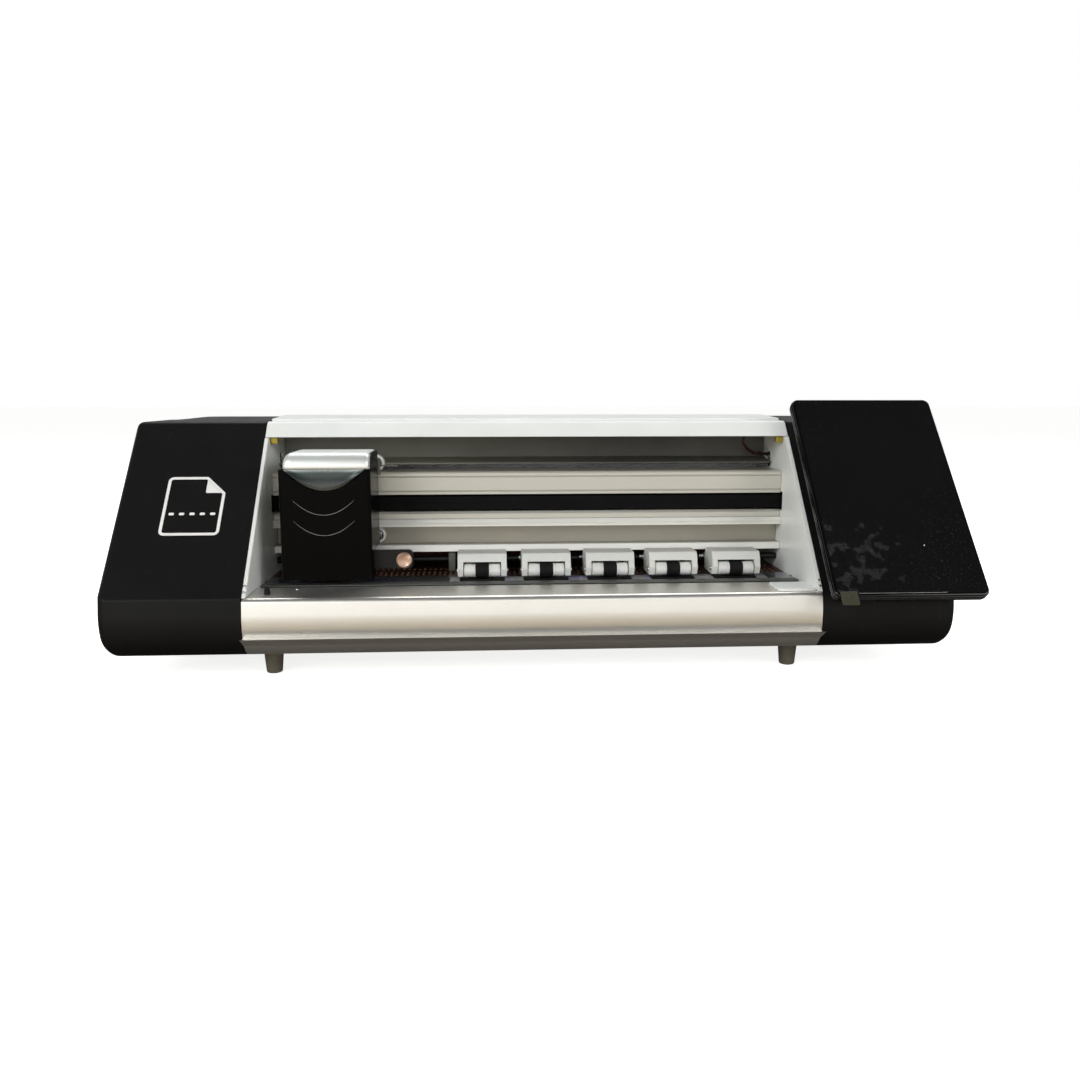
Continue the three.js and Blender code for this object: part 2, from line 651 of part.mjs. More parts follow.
/** The top beam, with its front in the plane of the slanted face and a groove for the lamp below. */
function topBeam() {
  const middle = (slopeY(BEAM_BOTTOM) + BEAM_REAR) / 2;
  const grooveHalf = LAMP_WIDTH / 2 + GAP;
  const grooveTop = BEAM_BOTTOM + LAMP_THICKNESS + GAP;
  const outline = [
    [BEAM_REAR, TOP_HEIGHT],
    [SLOPE_RUN - BEAM_EDGE_ROOT + BEAM_EDGE_DEPTH, TOP_HEIGHT],
    [SLOPE_RUN - BEAM_EDGE_ROOT, TOP_HEIGHT - BEAM_EDGE_DROP],
    [slopeY(BEAM_BOTTOM) + BEAM_SETBACK, BEAM_BOTTOM],
    [middle - grooveHalf, BEAM_BOTTOM],
    [middle - grooveHalf, grooveTop],
    [middle + grooveHalf, grooveTop],
    [middle + grooveHalf, BEAM_BOTTOM],
    [BEAM_REAR, BEAM_BOTTOM],
  ];
  const lamp = box(
    [-INNER_SPAN / 2 + LAMP_MARGIN, middle - LAMP_WIDTH / 2, BEAM_BOTTOM],
    [INNER_SPAN / 2 - LAMP_MARGIN, middle + LAMP_WIDTH / 2, BEAM_BOTTOM + LAMP_THICKNESS]);
  return [
    part('top_beam', pushed('x', outline, -SPAN / 2, SPAN / 2), 'white'),
    part('led_strip', lamp, 'lamp'),
  ];
}

/** The white sheet that closes the top and the upper back. */
function topCover() {
  const front = BEAM_REAR + GAP;
  const outline = rounded([
    [REAR, topZ(REAR) + COVER_STEP, COVER_BEND + SHEET],
    [front, topZ(front) + COVER_STEP],
    [front, topZ(front) + COVER_STEP - SHEET],
    [REAR - SHEET, topZ(REAR - SHEET) + COVER_STEP - SHEET, COVER_BEND],
    [REAR - SHEET, EXIT_SLOT_HIGH],
    [REAR, EXIT_SLOT_HIGH],
  ]);
  return part('top_cover', pushed('x', outline, -SPAN / 2, SPAN / 2), 'white');
}

/** The folded sheet behind the rail that closes the view into the machine. */
function rearBaffle() {
  const back = REAR - BAFFLE_FROM_REAR;
  const top = topZ(back - BAFFLE_THICKNESS) + COVER_STEP - SHEET - GAP;
  const fold = top - BAFFLE_HEIGHT;
  const outline = [
    [back, top],
    [back - BAFFLE_THICKNESS, top],
    [back - BAFFLE_THICKNESS, fold],
    [back - BAFFLE_LIP, fold - BAFFLE_LIP_DROP],
    [back - BAFFLE_LIP, fold - BAFFLE_LIP_DROP - BAFFLE_THICKNESS],
    [back, fold - BAFFLE_THICKNESS],
  ];
  return part('rear_baffle', pushed('x', outline, -INNER_SPAN / 2, INNER_SPAN / 2), 'greyPlate');
}

/** The base plate with its upturned back edge, below the film's exit slot. */
function basePlate() {
  const back = REAR - SHEET - GAP;
  const outline = [
    [back, EXIT_SLOT_LOW],
    [back - SHEET, EXIT_SLOT_LOW],
    [back - SHEET, BED_BOTTOM + SHEET],
    [NOSE_CURL + BASE_FROM_CURL, BED_BOTTOM + SHEET],
    [NOSE_CURL + BASE_FROM_CURL, BED_BOTTOM],
    [back, BED_BOTTOM],
  ];
  return part('base_plate', pushed('x', outline, -INNER_SPAN / 2, INNER_SPAN / 2), 'greyPlate');
}

// ---------------------------------------------------------------- rail and bed
/** Outline (y, z) of the gantry rail: a hollow-backed extrusion with a belt groove and a wheel track. */
function railOutline() {
  const rear = RAIL_FRONT + RAIL_DEPTH;
  const grooveHigh = BELT_TOP + BELT_GROOVE_MARGIN;
  const grooveLow = BELT_TOP - BELT_WIDTH - BELT_GROOVE_MARGIN;
  const grooveRear = PULLEY_Y + BELT_OUTER + BELT_GROOVE_DEPTH;
  const trackRear = RAIL_FRONT + TRACK_DEPTH;
  const ledgeTop = LEDGE_BOTTOM + LEDGE_HEIGHT;
  return [
    [rear, RAIL_TOP],
    [RAIL_FRONT + RAIL_CHAMFER, RAIL_TOP],
    [RAIL_FRONT, RAIL_TOP - RAIL_CHAMFER],
    [RAIL_FRONT, grooveHigh],
    [grooveRear, grooveHigh],
    [grooveRear, grooveLow],
    [RAIL_FRONT, grooveLow],
    [RAIL_FRONT, ledgeTop],
    [RAIL_FRONT - RAIL_LEDGE, ledgeTop],
    [RAIL_FRONT - RAIL_LEDGE, LEDGE_BOTTOM],
    [trackRear, LEDGE_BOTTOM],
    [trackRear, LIP_TOP],
    [RAIL_FRONT - RAIL_LEDGE + LIP_SETBACK, LIP_TOP],
    [RAIL_FRONT - RAIL_LEDGE + LIP_SETBACK, RAIL_BOTTOM],
    [rear - RAIL_WALL, RAIL_BOTTOM],
    [rear, RAIL_BOTTOM + RAIL_WALL],
  ];
}

/** The gantry rail between the side plates. */
function gantryRail() {
  return part('gantry_rail', pushed('x', railOutline(), -INNER_SPAN / 2, INNER_SPAN / 2), 'railSilver');
}

/** The platen, with one long window that the feed sleeves stand in. */
function platen() {
  const half = INNER_SPAN / 2;
  const bottom = PLATEN_TOP - PLATEN_THICKNESS;
  const front = FRONT_SLOT_EDGE;
  const window = box(
    [PINCH_X[0] - PINCH_PITCH / 2, FEED_Y - WINDOW_HALF, bottom - CUT],
    [PINCH_X.at(-1) + PINCH_PITCH / 2, FEED_Y + WINDOW_HALF, PLATEN_TOP + CUT]);
  const plate = box([-half, front, bottom], [half, GUIDE_START - GAP, PLATEN_TOP]);
  return part('platen', shaped([plate], [window]), 'greyPlate');
}

/** The cutting strip that the blade runs on. */
function cuttingStrip() {
  const half = INNER_SPAN / 2 - STRIP_MARGIN;
  const middle = BLADE_Y - STRIP_LEAD;
  const low = PLATEN_TOP + GAP;
  return part('cutting_strip', box(
    [-half, middle - STRIP_WIDTH / 2, low],
    [half, middle + STRIP_WIDTH / 2, low + STRIP_THICKNESS]), 'rubber');
}

/** The dark guide sheet that carries the film to the exit slot. */
function rearGuide() {
  const half = INNER_SPAN / 2;
  const low = PLATEN_TOP - GUIDE_THICKNESS;
  const rear = REAR - 2 * SHEET - 3 * GAP - GUIDE_CLEARANCE;
  return part('rear_guide', box([-half, GUIDE_START, low], [half, rear, PLATEN_TOP]), 'brown');
}

/** The four tapered feet. */
function feet() {
  const x = HALF_OPENING - FOOT_INSET;
  const front = FRONT_FLANGE - FOOT_FROM_FLANGE;
  const rear = REAR - FOOT_REAR_INSET;
  const places = [
    ['front_left_foot', -x, front, UNDERSIDE - GAP], ['front_right_foot', x, front, UNDERSIDE - GAP],
    ['rear_left_foot', -x, rear, BED_BOTTOM - GAP], ['rear_right_foot', x, rear, BED_BOTTOM - GAP],
  ];
  return places.map(([name, footX, footY, height]) => {
    const profile = [
      [0, 0], [FOOT_TIP_RADIUS - FOOT_EDGE, 0], [FOOT_TIP_RADIUS, FOOT_EDGE], [FOOT_TOP_RADIUS, height],
      [0, height],
    ];
    return part(name, turned('z', profile, 20), 'foot', [footX, footY, 0]);
  });
}

/** The two plated corner blocks that tie the beam to the side plates. */
function cornerBlocks() {
  const size = CORNER_BLOCK_SIZE;
  const height = CORNER_BLOCK_HEIGHT;
  const y = slopeY(BEAM_BOTTOM) + CORNER_BLOCK_SETBACK;
  const outline = rounded([[0, 0, 1], [size, 0, 1], [size, size, 1], [0, size, 1]], 2);
  return [['left_corner_block', -INNER_SPAN / 2], ['right_corner_block', INNER_SPAN / 2 - size]]
    .map(([name, x]) =>
      part(name, pushed('z', outline, 0, height), 'zinc', [x, y, BEAM_BOTTOM - GAP - height]));
}

/** The lamp's lead: from the strip's end down to its hole in the right side plate. */
function lampWire() {
  const middle = (slopeY(BEAM_BOTTOM) + BEAM_REAR) / 2;
  const route = new THREE.CatmullRomCurve3([
    new THREE.Vector3(HALF_INSIDE - WIRE_LEAD, middle, BEAM_BOTTOM - WIRE_RADIUS - GAP),
    new THREE.Vector3(HALF_INSIDE - 0.9 * WIRE_LEAD, middle + WIRE_SLACK, BEAM_BOTTOM - WIRE_DROP / 3),
    new THREE.Vector3(
      HALF_INSIDE - 0.6 * WIRE_LEAD, WIRE_EXIT_Y - WIRE_SLACK / 3, BEAM_BOTTOM - 0.75 * WIRE_DROP),
    new THREE.Vector3(HALF_INSIDE - WIRE_OVERHANG, WIRE_EXIT_Y, WIRE_EXIT_Z + GAP),
    new THREE.Vector3(HALF_OPENING + WIRE_OVERHANG, WIRE_EXIT_Y, WIRE_EXIT_Z),
  ]);
  const section = new THREE.Shape(
    circle(0, 0, WIRE_RADIUS, 8).map(([a, b]) => new THREE.Vector2(a, b)));
  const geometry = new THREE.ExtrudeGeometry(section, { steps: 18, extrudePath: route, bevelEnabled: false });
  return part('lamp_wire', geometry, 'wire');
}

// ---------------------------------------------------------------- drives
/** A square stepper motor along z, its front face at z = 0 and its shaft going up. */
function motorSolids(shaftLength) {
  const half = MOTOR_SIZE / 2;
  const outline = [
    [half, half - MOTOR_CHAMFER], [half - MOTOR_CHAMFER, half],
    [MOTOR_CHAMFER - half, half], [-half, half - MOTOR_CHAMFER],
    [-half, MOTOR_CHAMFER - half], [MOTOR_CHAMFER - half, -half],
    [half - MOTOR_CHAMFER, -half], [half, MOTOR_CHAMFER - half],
  ];
  return [
    pushed('z', outline, -MOTOR_LENGTH, 0),
    rod('z', MOTOR_BOSS_RADIUS, -JOIN, MOTOR_BOSS_HEIGHT),
    rod('z', MOTOR_SHAFT_RADIUS, -JOIN, shaftLength, 14),
  ];
}

/** The carriage motor hanging in the left cap, with its angle bracket. */
function carriageMotor() {
  const bracket = MOTOR_BRACKET;
  const half = MOTOR_SIZE / 2;
  const wall = PULLEY_OFFSET - GAP;
  const top = BELT_MIDDLE - PULLEY_HEIGHT / 2 - PULLEY_LIFT - bracket;
  const shaftLength = PULLEY_HEIGHT + bracket + PULLEY_LIFT;
  const plate = box([-half, -half, 0], [wall, half, bracket]);
  const flange = box([wall - bracket, -half, -MOTOR_BRACKET_DROP], [wall, half, bracket]);
  const body = shaped([...motorSolids(shaftLength), plate, flange]);
  const place = [-HALF_OPENING - PULLEY_OFFSET, PULLEY_Y, top];
  return part('carriage_motor', body, 'moulded', place);
}

/** The idler's angle bracket and pin on the outside of the right plate. */
function idlerBracket() {
  const thick = MOTOR_BRACKET;
  const wall = -PULLEY_OFFSET + GAP;
  const half = IDLER_BRACKET_HALF;
  const top = BELT_MIDDLE - PULLEY_HEIGHT / 2 - PULLEY_LIFT;
  const body = shaped([
    box([wall, -half, -thick], [half, half, 0]),
    box([wall, -half, -IDLER_BRACKET_DROP], [wall + thick, half, 0]),
    rod('z', MOTOR_SHAFT_RADIUS, -JOIN, PULLEY_HEIGHT + PULLEY_LIFT + JOIN, 14),
    ring('z', MOTOR_SHAFT_RADIUS - 0.2, MOTOR_SHAFT_RADIUS + PULLEY_LIFT, -JOIN, PULLEY_LIFT - GAP, 14),
  ]);
  return part('idler_bracket', body, 'steel', [HALF_OPENING + PULLEY_OFFSET, PULLEY_Y, top]);
}

/** A flanged belt pulley about z, centred on the belt. */
function beltPulley(name, x) {
  const half = PULLEY_HEIGHT / 2;
  const bore = MOTOR_SHAFT_RADIUS + GAP;
  const flange = BELT_OUTER + PULLEY_FLANGE_REACH;
  const profile = [
    [bore, -half], [flange, -half], [flange, -half + PULLEY_FLANGE], [PULLEY_RADIUS, -half + PULLEY_FLANGE],
    [PULLEY_RADIUS, half - PULLEY_FLANGE], [flange, half - PULLEY_FLANGE], [flange, half], [bore, half],
    [bore, -half],
  ];
  return part(name, turned('z', profile, 24), 'steel', [x, PULLEY_Y, BELT_MIDDLE]);
}

/** A racetrack outline (x, y) round the two pulleys. */
function beltLoop(radius, reach) {
  const points = [];
  for (const side of [1, -1]) {
    for (let step = 0; step <= 12; step += 1) {
      const turn = -Math.PI / 2 + (Math.PI * step) / 12;
      points.push([side * (reach + radius * Math.cos(turn)), side * radius * Math.sin(turn)]);
    }
  }
  return points;
}

/** The carriage belt, a closed loop through both side plates. */
function carriageBelt() {
  const reach = HALF_OPENING + PULLEY_OFFSET;
  const geometry = pushed(
    'z', beltLoop(BELT_OUTER, reach), -BELT_WIDTH / 2, BELT_WIDTH / 2, [beltLoop(BELT_INNER, reach)]);
  return part('carriage_belt', geometry, 'rubber', [0, PULLEY_Y, BELT_MIDDLE]);
}

/** The feed motor in the right cap, in line with the feed shaft, on four spacer posts. */
function feedMotor() {
  const posts = [[1, 1], [1, -1], [-1, 1], [-1, -1]].map(([a, b]) =>
    rod('z', FEED_POST_RADIUS, -JOIN, FEED_MOTOR_GAP - GAP, 12)
      .translate(FEED_POST_PLACE * a, FEED_POST_PLACE * b, 0));
  const body = shaped([...motorSolids(FEED_MOTOR_GAP / 2 - SHAFT_END_GAP - JOIN), ...posts]);
  body.rotateY(-Math.PI / 2);
  return part('feed_motor', body, 'moulded', [HALF_OPENING + FEED_MOTOR_GAP, FEED_Y, SHAFT_Z]);
}

/** The feed shaft with its five grip sleeves, turned as one about x. */
function feedShaft() {
  const start = -HALF_OPENING - SHAFT_OVERHANG;
  const end = HALF_OPENING + FEED_MOTOR_GAP / 2 - SHAFT_END_GAP;
  const profile = [[0, start], [SHAFT_RADIUS, start]];
  for (const x of PINCH_X) {
    profile.push(
      [SHAFT_RADIUS, x - SLEEVE_WIDTH / 2], [SLEEVE_RADIUS, x - SLEEVE_WIDTH / 2],
      [SLEEVE_RADIUS, x + SLEEVE_WIDTH / 2], [SHAFT_RADIUS, x + SLEEVE_WIDTH / 2]);
  }
  profile.push([SHAFT_RADIUS, end], [0, end]);
  return part('feed_shaft', turned('x', profile, 24), 'steel');
}

/** The coupling between the feed shaft and its motor. */
function shaftCoupling() {
  const low = FEED_MOTOR_GAP / 2 - COUPLING_HALF;
  const high = FEED_MOTOR_GAP / 2 + COUPLING_HALF;
  const middle = FEED_MOTOR_GAP / 2 - SHAFT_END_GAP / 2;
  const profile = [
    [SHAFT_RADIUS + GAP, low], [COUPLING_RADIUS, low], [COUPLING_RADIUS, high],
    [MOTOR_SHAFT_RADIUS + GAP, high], [MOTOR_SHAFT_RADIUS + GAP, middle],
    [SHAFT_RADIUS + GAP, middle], [SHAFT_RADIUS + GAP, low],
  ];
  return part('shaft_coupling', turned('x', profile, 20), 'railSilver', [HALF_OPENING, 0, 0]);
}

/** The two shaft bearings in the side plates. */
function shaftBearings() {
  const geometry = () => ring('x', SHAFT_RADIUS + GAP, BEARING_RADIUS, 0, BEARING_WIDTH);
  return [
    part('left_shaft_bearing', geometry(), 'steel', [-HALF_INSIDE - BEARING_WIDTH, FEED_Y, SHAFT_Z]),
    part('right_shaft_bearing', geometry(), 'steel', [HALF_INSIDE, FEED_Y, SHAFT_Z]),
  ];
}

// ---------------------------------------------------------------- pinch units
/** The rod that all pinch arms turn on. */
function pivotRod() {
  return part('pinch_pivot_rod', rod('x', PIVOT_RADIUS, -INNER_SPAN / 2, INNER_SPAN / 2, 16), 'steel',
    [0, PIVOT_Y, PIVOT_HEIGHT]);
}

/** A pinch arm about its pivot: two cheeks, a roof over the roller and a tail to the boss. */
function pinchArm() {
  const half = ARM_WIDTH / 2;
  const front = -ARM_REACH - ARM_NOSE;
  const axle = ROLLER_Z - PIVOT_HEIGHT;
  const top = ARM_TOP - PIVOT_HEIGHT;
  const neck = -ARM_NECK;
  const low = axle - ARM_CHEEK_DROP;
  const brow = front + ARM_NOSE_SLANT;
  const cheek = rounded([
    [neck, top, 2], [brow, top, 3], [front, axle + ARM_CHEEK_LIFT, 2], [front + 2, low, 1.5],
    [neck + 3, low, 1.5], [neck + 3, top - 6, 1],
  ], 3);
  const cheeks = [-half, half - ARM_CHEEK].map((x) => pushed('x', cheek, x, x + ARM_CHEEK));
  const under = axle + TYRE_RADIUS + ROOF_CLEARANCE;
  const roof = rounded([
    [neck, top, 2], [brow, top, 3], [front + 1.5, under, 0.5], [neck, under, 0.5],
  ], 2);
  const tail = [
    [neck - 3, top - 0.5], [neck - 3, under + 0.5], [0, -PIVOT_BOSS + 0.6], [0, PIVOT_BOSS - 0.6],
    [neck + 5, PIVOT_BOSS - 0.4],
  ];
  return shaped(
    [...cheeks, pushed('x', roof, -half, half),
      pushed('x', tail, -half + ARM_TAIL_INSET, half - ARM_TAIL_INSET),
      rod('x', PIVOT_BOSS, -half + ARM_BOSS_INSET, half - ARM_BOSS_INSET, 20)],
    [rod('x', PIVOT_RADIUS + GAP, -ARM_WIDTH, ARM_WIDTH, 16),
      rod('x', AXLE_RADIUS + GAP, -ARM_WIDTH, ARM_WIDTH, 12).translate(0, -ARM_REACH, axle)]);
}

/** A pinch roller about x: a hub with axle stubs and a wider tyre in the middle. */
function pinchRoller() {
  const end = ARM_WIDTH / 2;
  const hub = end - ARM_CHEEK - HUB_CLEARANCE;
  const tyre = TYRE_WIDTH / 2;
  return turned('x', [
    [0, -end], [AXLE_RADIUS, -end], [AXLE_RADIUS, -hub], [HUB_RADIUS, -hub], [HUB_RADIUS, -tyre],
    [TYRE_RADIUS, -tyre], [TYRE_RADIUS, tyre], [HUB_RADIUS, tyre], [HUB_RADIUS, hub], [AXLE_RADIUS, hub],
    [AXLE_RADIUS, end], [0, end],
  ], 20);
}

/** All pinch units, each an arm and its roller. */
function pinchUnits() {
  return PINCH_X.map((x, index) => assembly([x, PIVOT_Y, PIVOT_HEIGHT],
    part(`pinch_arm_${index + 1}`, pinchArm(), 'nylon'),
    part(`pinch_roller_${index + 1}`, pinchRoller(), 'rubber',
      [0, -ARM_REACH, ROLLER_Z - PIVOT_HEIGHT])));
}

// ---------------------------------------------------------------- tool carriage
/** The lower edge of the silver top, a shallow arc from one side to the other, as (z, x) points. */
function tongueEdge(drop) {
  const half = CARRIAGE_WIDTH / 2;
  const steps = 16;
  return Array.from({ length: steps + 1 }, (_, index) => {
    const across = (2 * index) / steps - 1;
    return [CARRIAGE_COVER_TOP - drop * (1 - across * across), across * half];
  });
}

/** The black cover: a box open at the back and below, stepped to pass over the pinch arms. */
function carriageCover() {
  const half = CARRIAGE_WIDTH / 2;
  const back = SLED_Y - GAP;
  const chinRear = CARRIAGE_FRONT + CARRIAGE_CHIN_DEPTH;
  const chinTop = CARRIAGE_BOTTOM + CARRIAGE_CHIN_HEIGHT;
  const side = rounded([
    [back, CARRIAGE_COVER_TOP], [CARRIAGE_FRONT, CARRIAGE_COVER_TOP],
    [CARRIAGE_FRONT, CARRIAGE_BOTTOM, CHIN_ROUND], [chinRear, CARRIAGE_BOTTOM, 2], [chinRear, chinTop, 1], [back, chinTop],
  ]);
  const above = CARRIAGE_COVER_TOP + TONGUE_DROP;
  const notch = [[above, -half - 1], ...tongueEdge(TONGUE_DROP), [above, half + 1]];
  return part('carriage_cover', shaped(
    [pushed('x', side, -half, half)],
    [box([COVER_WALL - half, CARRIAGE_FRONT + COVER_WALL, CARRIAGE_BOTTOM - CUT],
      [half - COVER_WALL, back + CUT, CARRIAGE_COVER_TOP + CUT]),
    pushed('y', notch, CARRIAGE_FRONT - 1, CARRIAGE_FRONT + COVER_WALL + 1),
    box([half - COVER_WALL - 1, TOOL_ARM_Y - GAP, TOOL_ARM_Z - TOOL_ARM_HEIGHT / 2 - GAP],
      [half + 1, TOOL_ARM_Y + TOOL_ARM_THICKNESS + GAP, TOOL_ARM_Z + TOOL_ARM_HEIGHT / 2 + GAP])],
  ), 'moulded');
}

/** The silver top: a rounded hood with a tongue that hangs over the front. */
function carriageTop() {
  const half = CARRIAGE_WIDTH / 2 + HOOD_OVERHANG;
  const front = CARRIAGE_FRONT - HOOD_OVERHANG;
  const hollow = CARRIAGE_FRONT + HOOD_WALL;
  const ceiling = CARRIAGE_TOP - HOOD_WALL;
  const back = SLED_Y - GAP;
  const low = CARRIAGE_COVER_TOP + GAP;
  const outer = rounded([
    [back, CARRIAGE_TOP, HOOD_REAR_ROUND], [front, CARRIAGE_TOP, HOOD_ROUND], [front, low], [back, low],
  ], 6);
  const inner = rounded([
    [back - HOOD_WALL, ceiling, HOOD_WALL], [hollow, ceiling, HOOD_ROUND - HOOD_WALL], [hollow, low - CUT],
    [back - HOOD_WALL, low - CUT],
  ], 6);
  const tongue = [[CARRIAGE_COVER_TOP + 4, -half], ...tongueEdge(TONGUE_DROP - GAP - 0.2)
    .map(([z, x]) => [z + GAP, x]), [CARRIAGE_COVER_TOP + 4, half]];
  const crown = [
    [low - TONGUE_DROP, -half], [low, -half], [CARRIAGE_TOP - 9, -half], [CARRIAGE_TOP - 4, -half + 2],
    [CARRIAGE_TOP - 1, -half + 7], [CARRIAGE_TOP, -half + 15], [CARRIAGE_TOP, half - 15],
    [CARRIAGE_TOP - 1, half - 7], [CARRIAGE_TOP - 4, half - 2], [CARRIAGE_TOP - 9, half], [low, half],
    [low - TONGUE_DROP, half],
  ].reverse();
  const hood = solid(pushed('x', outer, -half, half))
    .subtract(solid(pushed('x', inner, -half + HOOD_WALL, half - HOOD_WALL)))
    .add(solid(pushed('y', tongue.reverse(), front, CARRIAGE_FRONT + COVER_WALL)))
    .intersect(solid(pushed('y', crown, CARRIAGE_FRONT - 2, back + 1)));
  return part('carriage_top', fromSolid(hood), 'topSilver');
}

/** The sled plate behind the cover, with the four wheel pins, the belt clamp and the tool guide. */
function carriageSled() {
  const half = CARRIAGE_WIDTH / 2 - SLED_MARGIN;
  const ear = WHEEL_EAR_HALF;
  const rise = BELT_CLAMP_RISE;
  const rear = SLED_Y + SLED_THICKNESS;
  const plate = box([-half, SLED_Y, CARRIAGE_BOTTOM + CARRIAGE_CHIN_HEIGHT + 2],
    [half, rear, CARRIAGE_COVER_TOP - SLED_MARGIN]);
  const pins = WHEELS.map(([, x, z, start]) =>
    rod('y', WHEEL_PIN_RADIUS, SLED_Y, start + WHEEL_WIDTH + 0.5, 12).translate(x, 0, z));
  const ears = WHEELS.slice(0, 2).map(([, x, z]) =>
    box([x - ear, SLED_Y, CARRIAGE_COVER_TOP - 8], [x + ear, rear, z + ear - 0.5]));
  const clamp = box([-BELT_CLAMP_HALF, SLED_Y, BELT_MIDDLE - rise],
    [BELT_CLAMP_HALF, PULLEY_Y - BELT_OUTER - GAP, BELT_MIDDLE + rise]);
  const wide = HOLDER_SIZE / 2 + TOOL_GUIDE_MARGIN;
  const guide = box([-wide, HOLDER_REAR + GAP, CARRIAGE_BOTTOM + CARRIAGE_CHIN_HEIGHT + 6],
    [wide, SLED_Y + JOIN, CARRIAGE_COVER_TOP - 20]);
  return part('carriage_sled', shaped([plate, ...pins, ...ears, clamp, guide]), 'greyPlate');
}

/** The four wheels, two on the rail's top and two under its ledge. */
function carriageWheels() {
  const bore = WHEEL_PIN_RADIUS + GAP;
  const edge = WHEEL_EDGE;
  return WHEELS.map(([name, x, z, start]) =>
    part(name, turned('y', [
      [bore, 0], [WHEEL_RADIUS - edge, 0], [WHEEL_RADIUS, edge], [WHEEL_RADIUS, WHEEL_WIDTH - edge],
      [WHEEL_RADIUS - edge, WHEEL_WIDTH], [bore, WHEEL_WIDTH], [bore, 0],
    ], 20), 'nylon', [x, start, z]));
}

/** The tool holder block that lifts the blade, and the blade holder that turns in it. */
function toolHolder() {
  const half = HOLDER_SIZE / 2;
  const low = CARRIAGE_BOTTOM + HOLDER_LIFT;
  const high = low + HOLDER_HEIGHT;
  const cap = BLADE_HOLDER_RADIUS + BLADE_CAP_REACH;
  const bore = BLADE_HOLDER_RADIUS + GAP;
  const tip = FILM_HEIGHT + STRIP_THICKNESS + TOOL_LIFT;
  const block = box([-half, HOLDER_REAR - HOLDER_SIZE, low], [half, HOLDER_REAR, high]);
  const holder = turned('z', [
    [0, tip], [BLADE_TIP_RADIUS, tip + 1.5],
    [BLADE_HOLDER_RADIUS - 0.6, low - 5], [BLADE_HOLDER_RADIUS, low - 4], [BLADE_HOLDER_RADIUS, high],
    [cap, high + GAP], [cap, high + BLADE_CAP_HEIGHT], [0, high + BLADE_CAP_HEIGHT],
  ], 20);
  return [
    part('tool_holder', shaped([block],
      [rod('z', bore, low - CUT, high + CUT, 20).translate(0, BLADE_Y, 0)]), 'moulded'),
    part('blade_holder', holder, 'steel', [0, BLADE_Y, 0]),
  ];
}

/** The side arm that comes out of the cover, and the thumb screw in its end. */
function toolArm() {
  const start = CARRIAGE_WIDTH / 2 - COVER_WALL - TOOL_ARM_ROOT;
  const end = CARRIAGE_WIDTH / 2 + TOOL_ARM_LENGTH;
  const half = TOOL_ARM_HEIGHT / 2;
  const outline = rounded([[half, start], [-half, start], [-half, end, 4], [half, end, 4]].reverse(), 4);
  const screwX = end - THUMB_SCREW_FROM_END;
  const top = half + TOOL_ARM_RISE;
  const side = start + TOOL_ARM_RISER;
  const face = -GAP - THUMB_SCREW_LENGTH;
  const arm = pushed('y', outline, 0, TOOL_ARM_THICKNESS, [circle(0, screwX, THUMB_PIN_RADIUS + GAP, 14)]);
  const riser = box([start, 0, -half], [side, TOOL_ARM_THICKNESS, top]);
  const foot = box([start, TOOL_ARM_THICKNESS - JOIN, top - TOOL_ARM_FOOT],
    [side, SLED_Y - GAP - TOOL_ARM_Y, top]);
  const screw = turned('y', [
    [0, face], [THUMB_SCREW_RADIUS - THUMB_SCREW_EDGE, face], [THUMB_SCREW_RADIUS, face + THUMB_SCREW_EDGE],
    [THUMB_SCREW_RADIUS, -GAP], [THUMB_PIN_RADIUS, -GAP], [THUMB_PIN_RADIUS, TOOL_ARM_THICKNESS + JOIN],
    [0, TOOL_ARM_THICKNESS + JOIN],
  ], 24);
  return [
    part('tool_arm', shaped([arm, riser, foot]), 'moulded', [0, TOOL_ARM_Y, TOOL_ARM_Z]),
    part('thumb_screw', screw, 'copper', [screwX, TOOL_ARM_Y, TOOL_ARM_Z]),
  ];
}

/** The whole carriage at its parked place. */
function carriage() {
  return assembly([CARRIAGE_X, 0, 0],
    carriageSled(), carriageCover(), carriageTop(), carriageWheels(), toolHolder(), toolArm());
}

// ---------------------------------------------------------------- screen and electrics
/** An outline (x, y) with four round corners. */
function roundedRectangle(width, height, radius) {
  const a = width / 2;
  const b = height / 2;
  return rounded([[-a, -b, radius], [a, -b, radius], [a, b, radius], [-a, b, radius]], 5);
}

/** The touch screen on its bracket, in a group whose z axis stands square to the slanted face. */
function touchScreen() {
  const shellDepth = SCREEN_THICKNESS - GLASS_THICKNESS - GAP;
  const shell = pushed('z', roundedRectangle(SCREEN_WIDTH, SCREEN_HEIGHT, SCREEN_CORNER),
    SCREEN_STANDOFF, SCREEN_STANDOFF + shellDepth);
  const glass = pushed('z', roundedRectangle(
    SCREEN_WIDTH - 2 * GLASS_INSET, SCREEN_HEIGHT - 2 * GLASS_INSET, SCREEN_CORNER - GLASS_INSET),
    SCREEN_STANDOFF + shellDepth + GAP, SCREEN_STANDOFF + SCREEN_THICKNESS);
  const bracket = pushed('z', roundedRectangle(
    SCREEN_BRACKET_WIDTH, SCREEN_BRACKET_HEIGHT, SCREEN_BRACKET_ROUND), GAP, SCREEN_STANDOFF - GAP);
  const along = SLOPE_LENGTH + SCREEN_ABOVE_TOP - SCREEN_HEIGHT / 2;
  const group = assembly(
    [HALF_OPENING + SCREEN_WIDTH / 2 + SCREEN_FROM_PLATE, along * Math.cos(SLOPE_ANGLE),
      CREASE_HEIGHT + along * Math.sin(SLOPE_ANGLE)],
    part('screen_shell', shell, 'moulded'),
    part('screen_glass', glass, 'gloss'),
    part('screen_bracket', bracket, 'moulded'));
  group.rotation.x = SLOPE_ANGLE;
  return group;
}

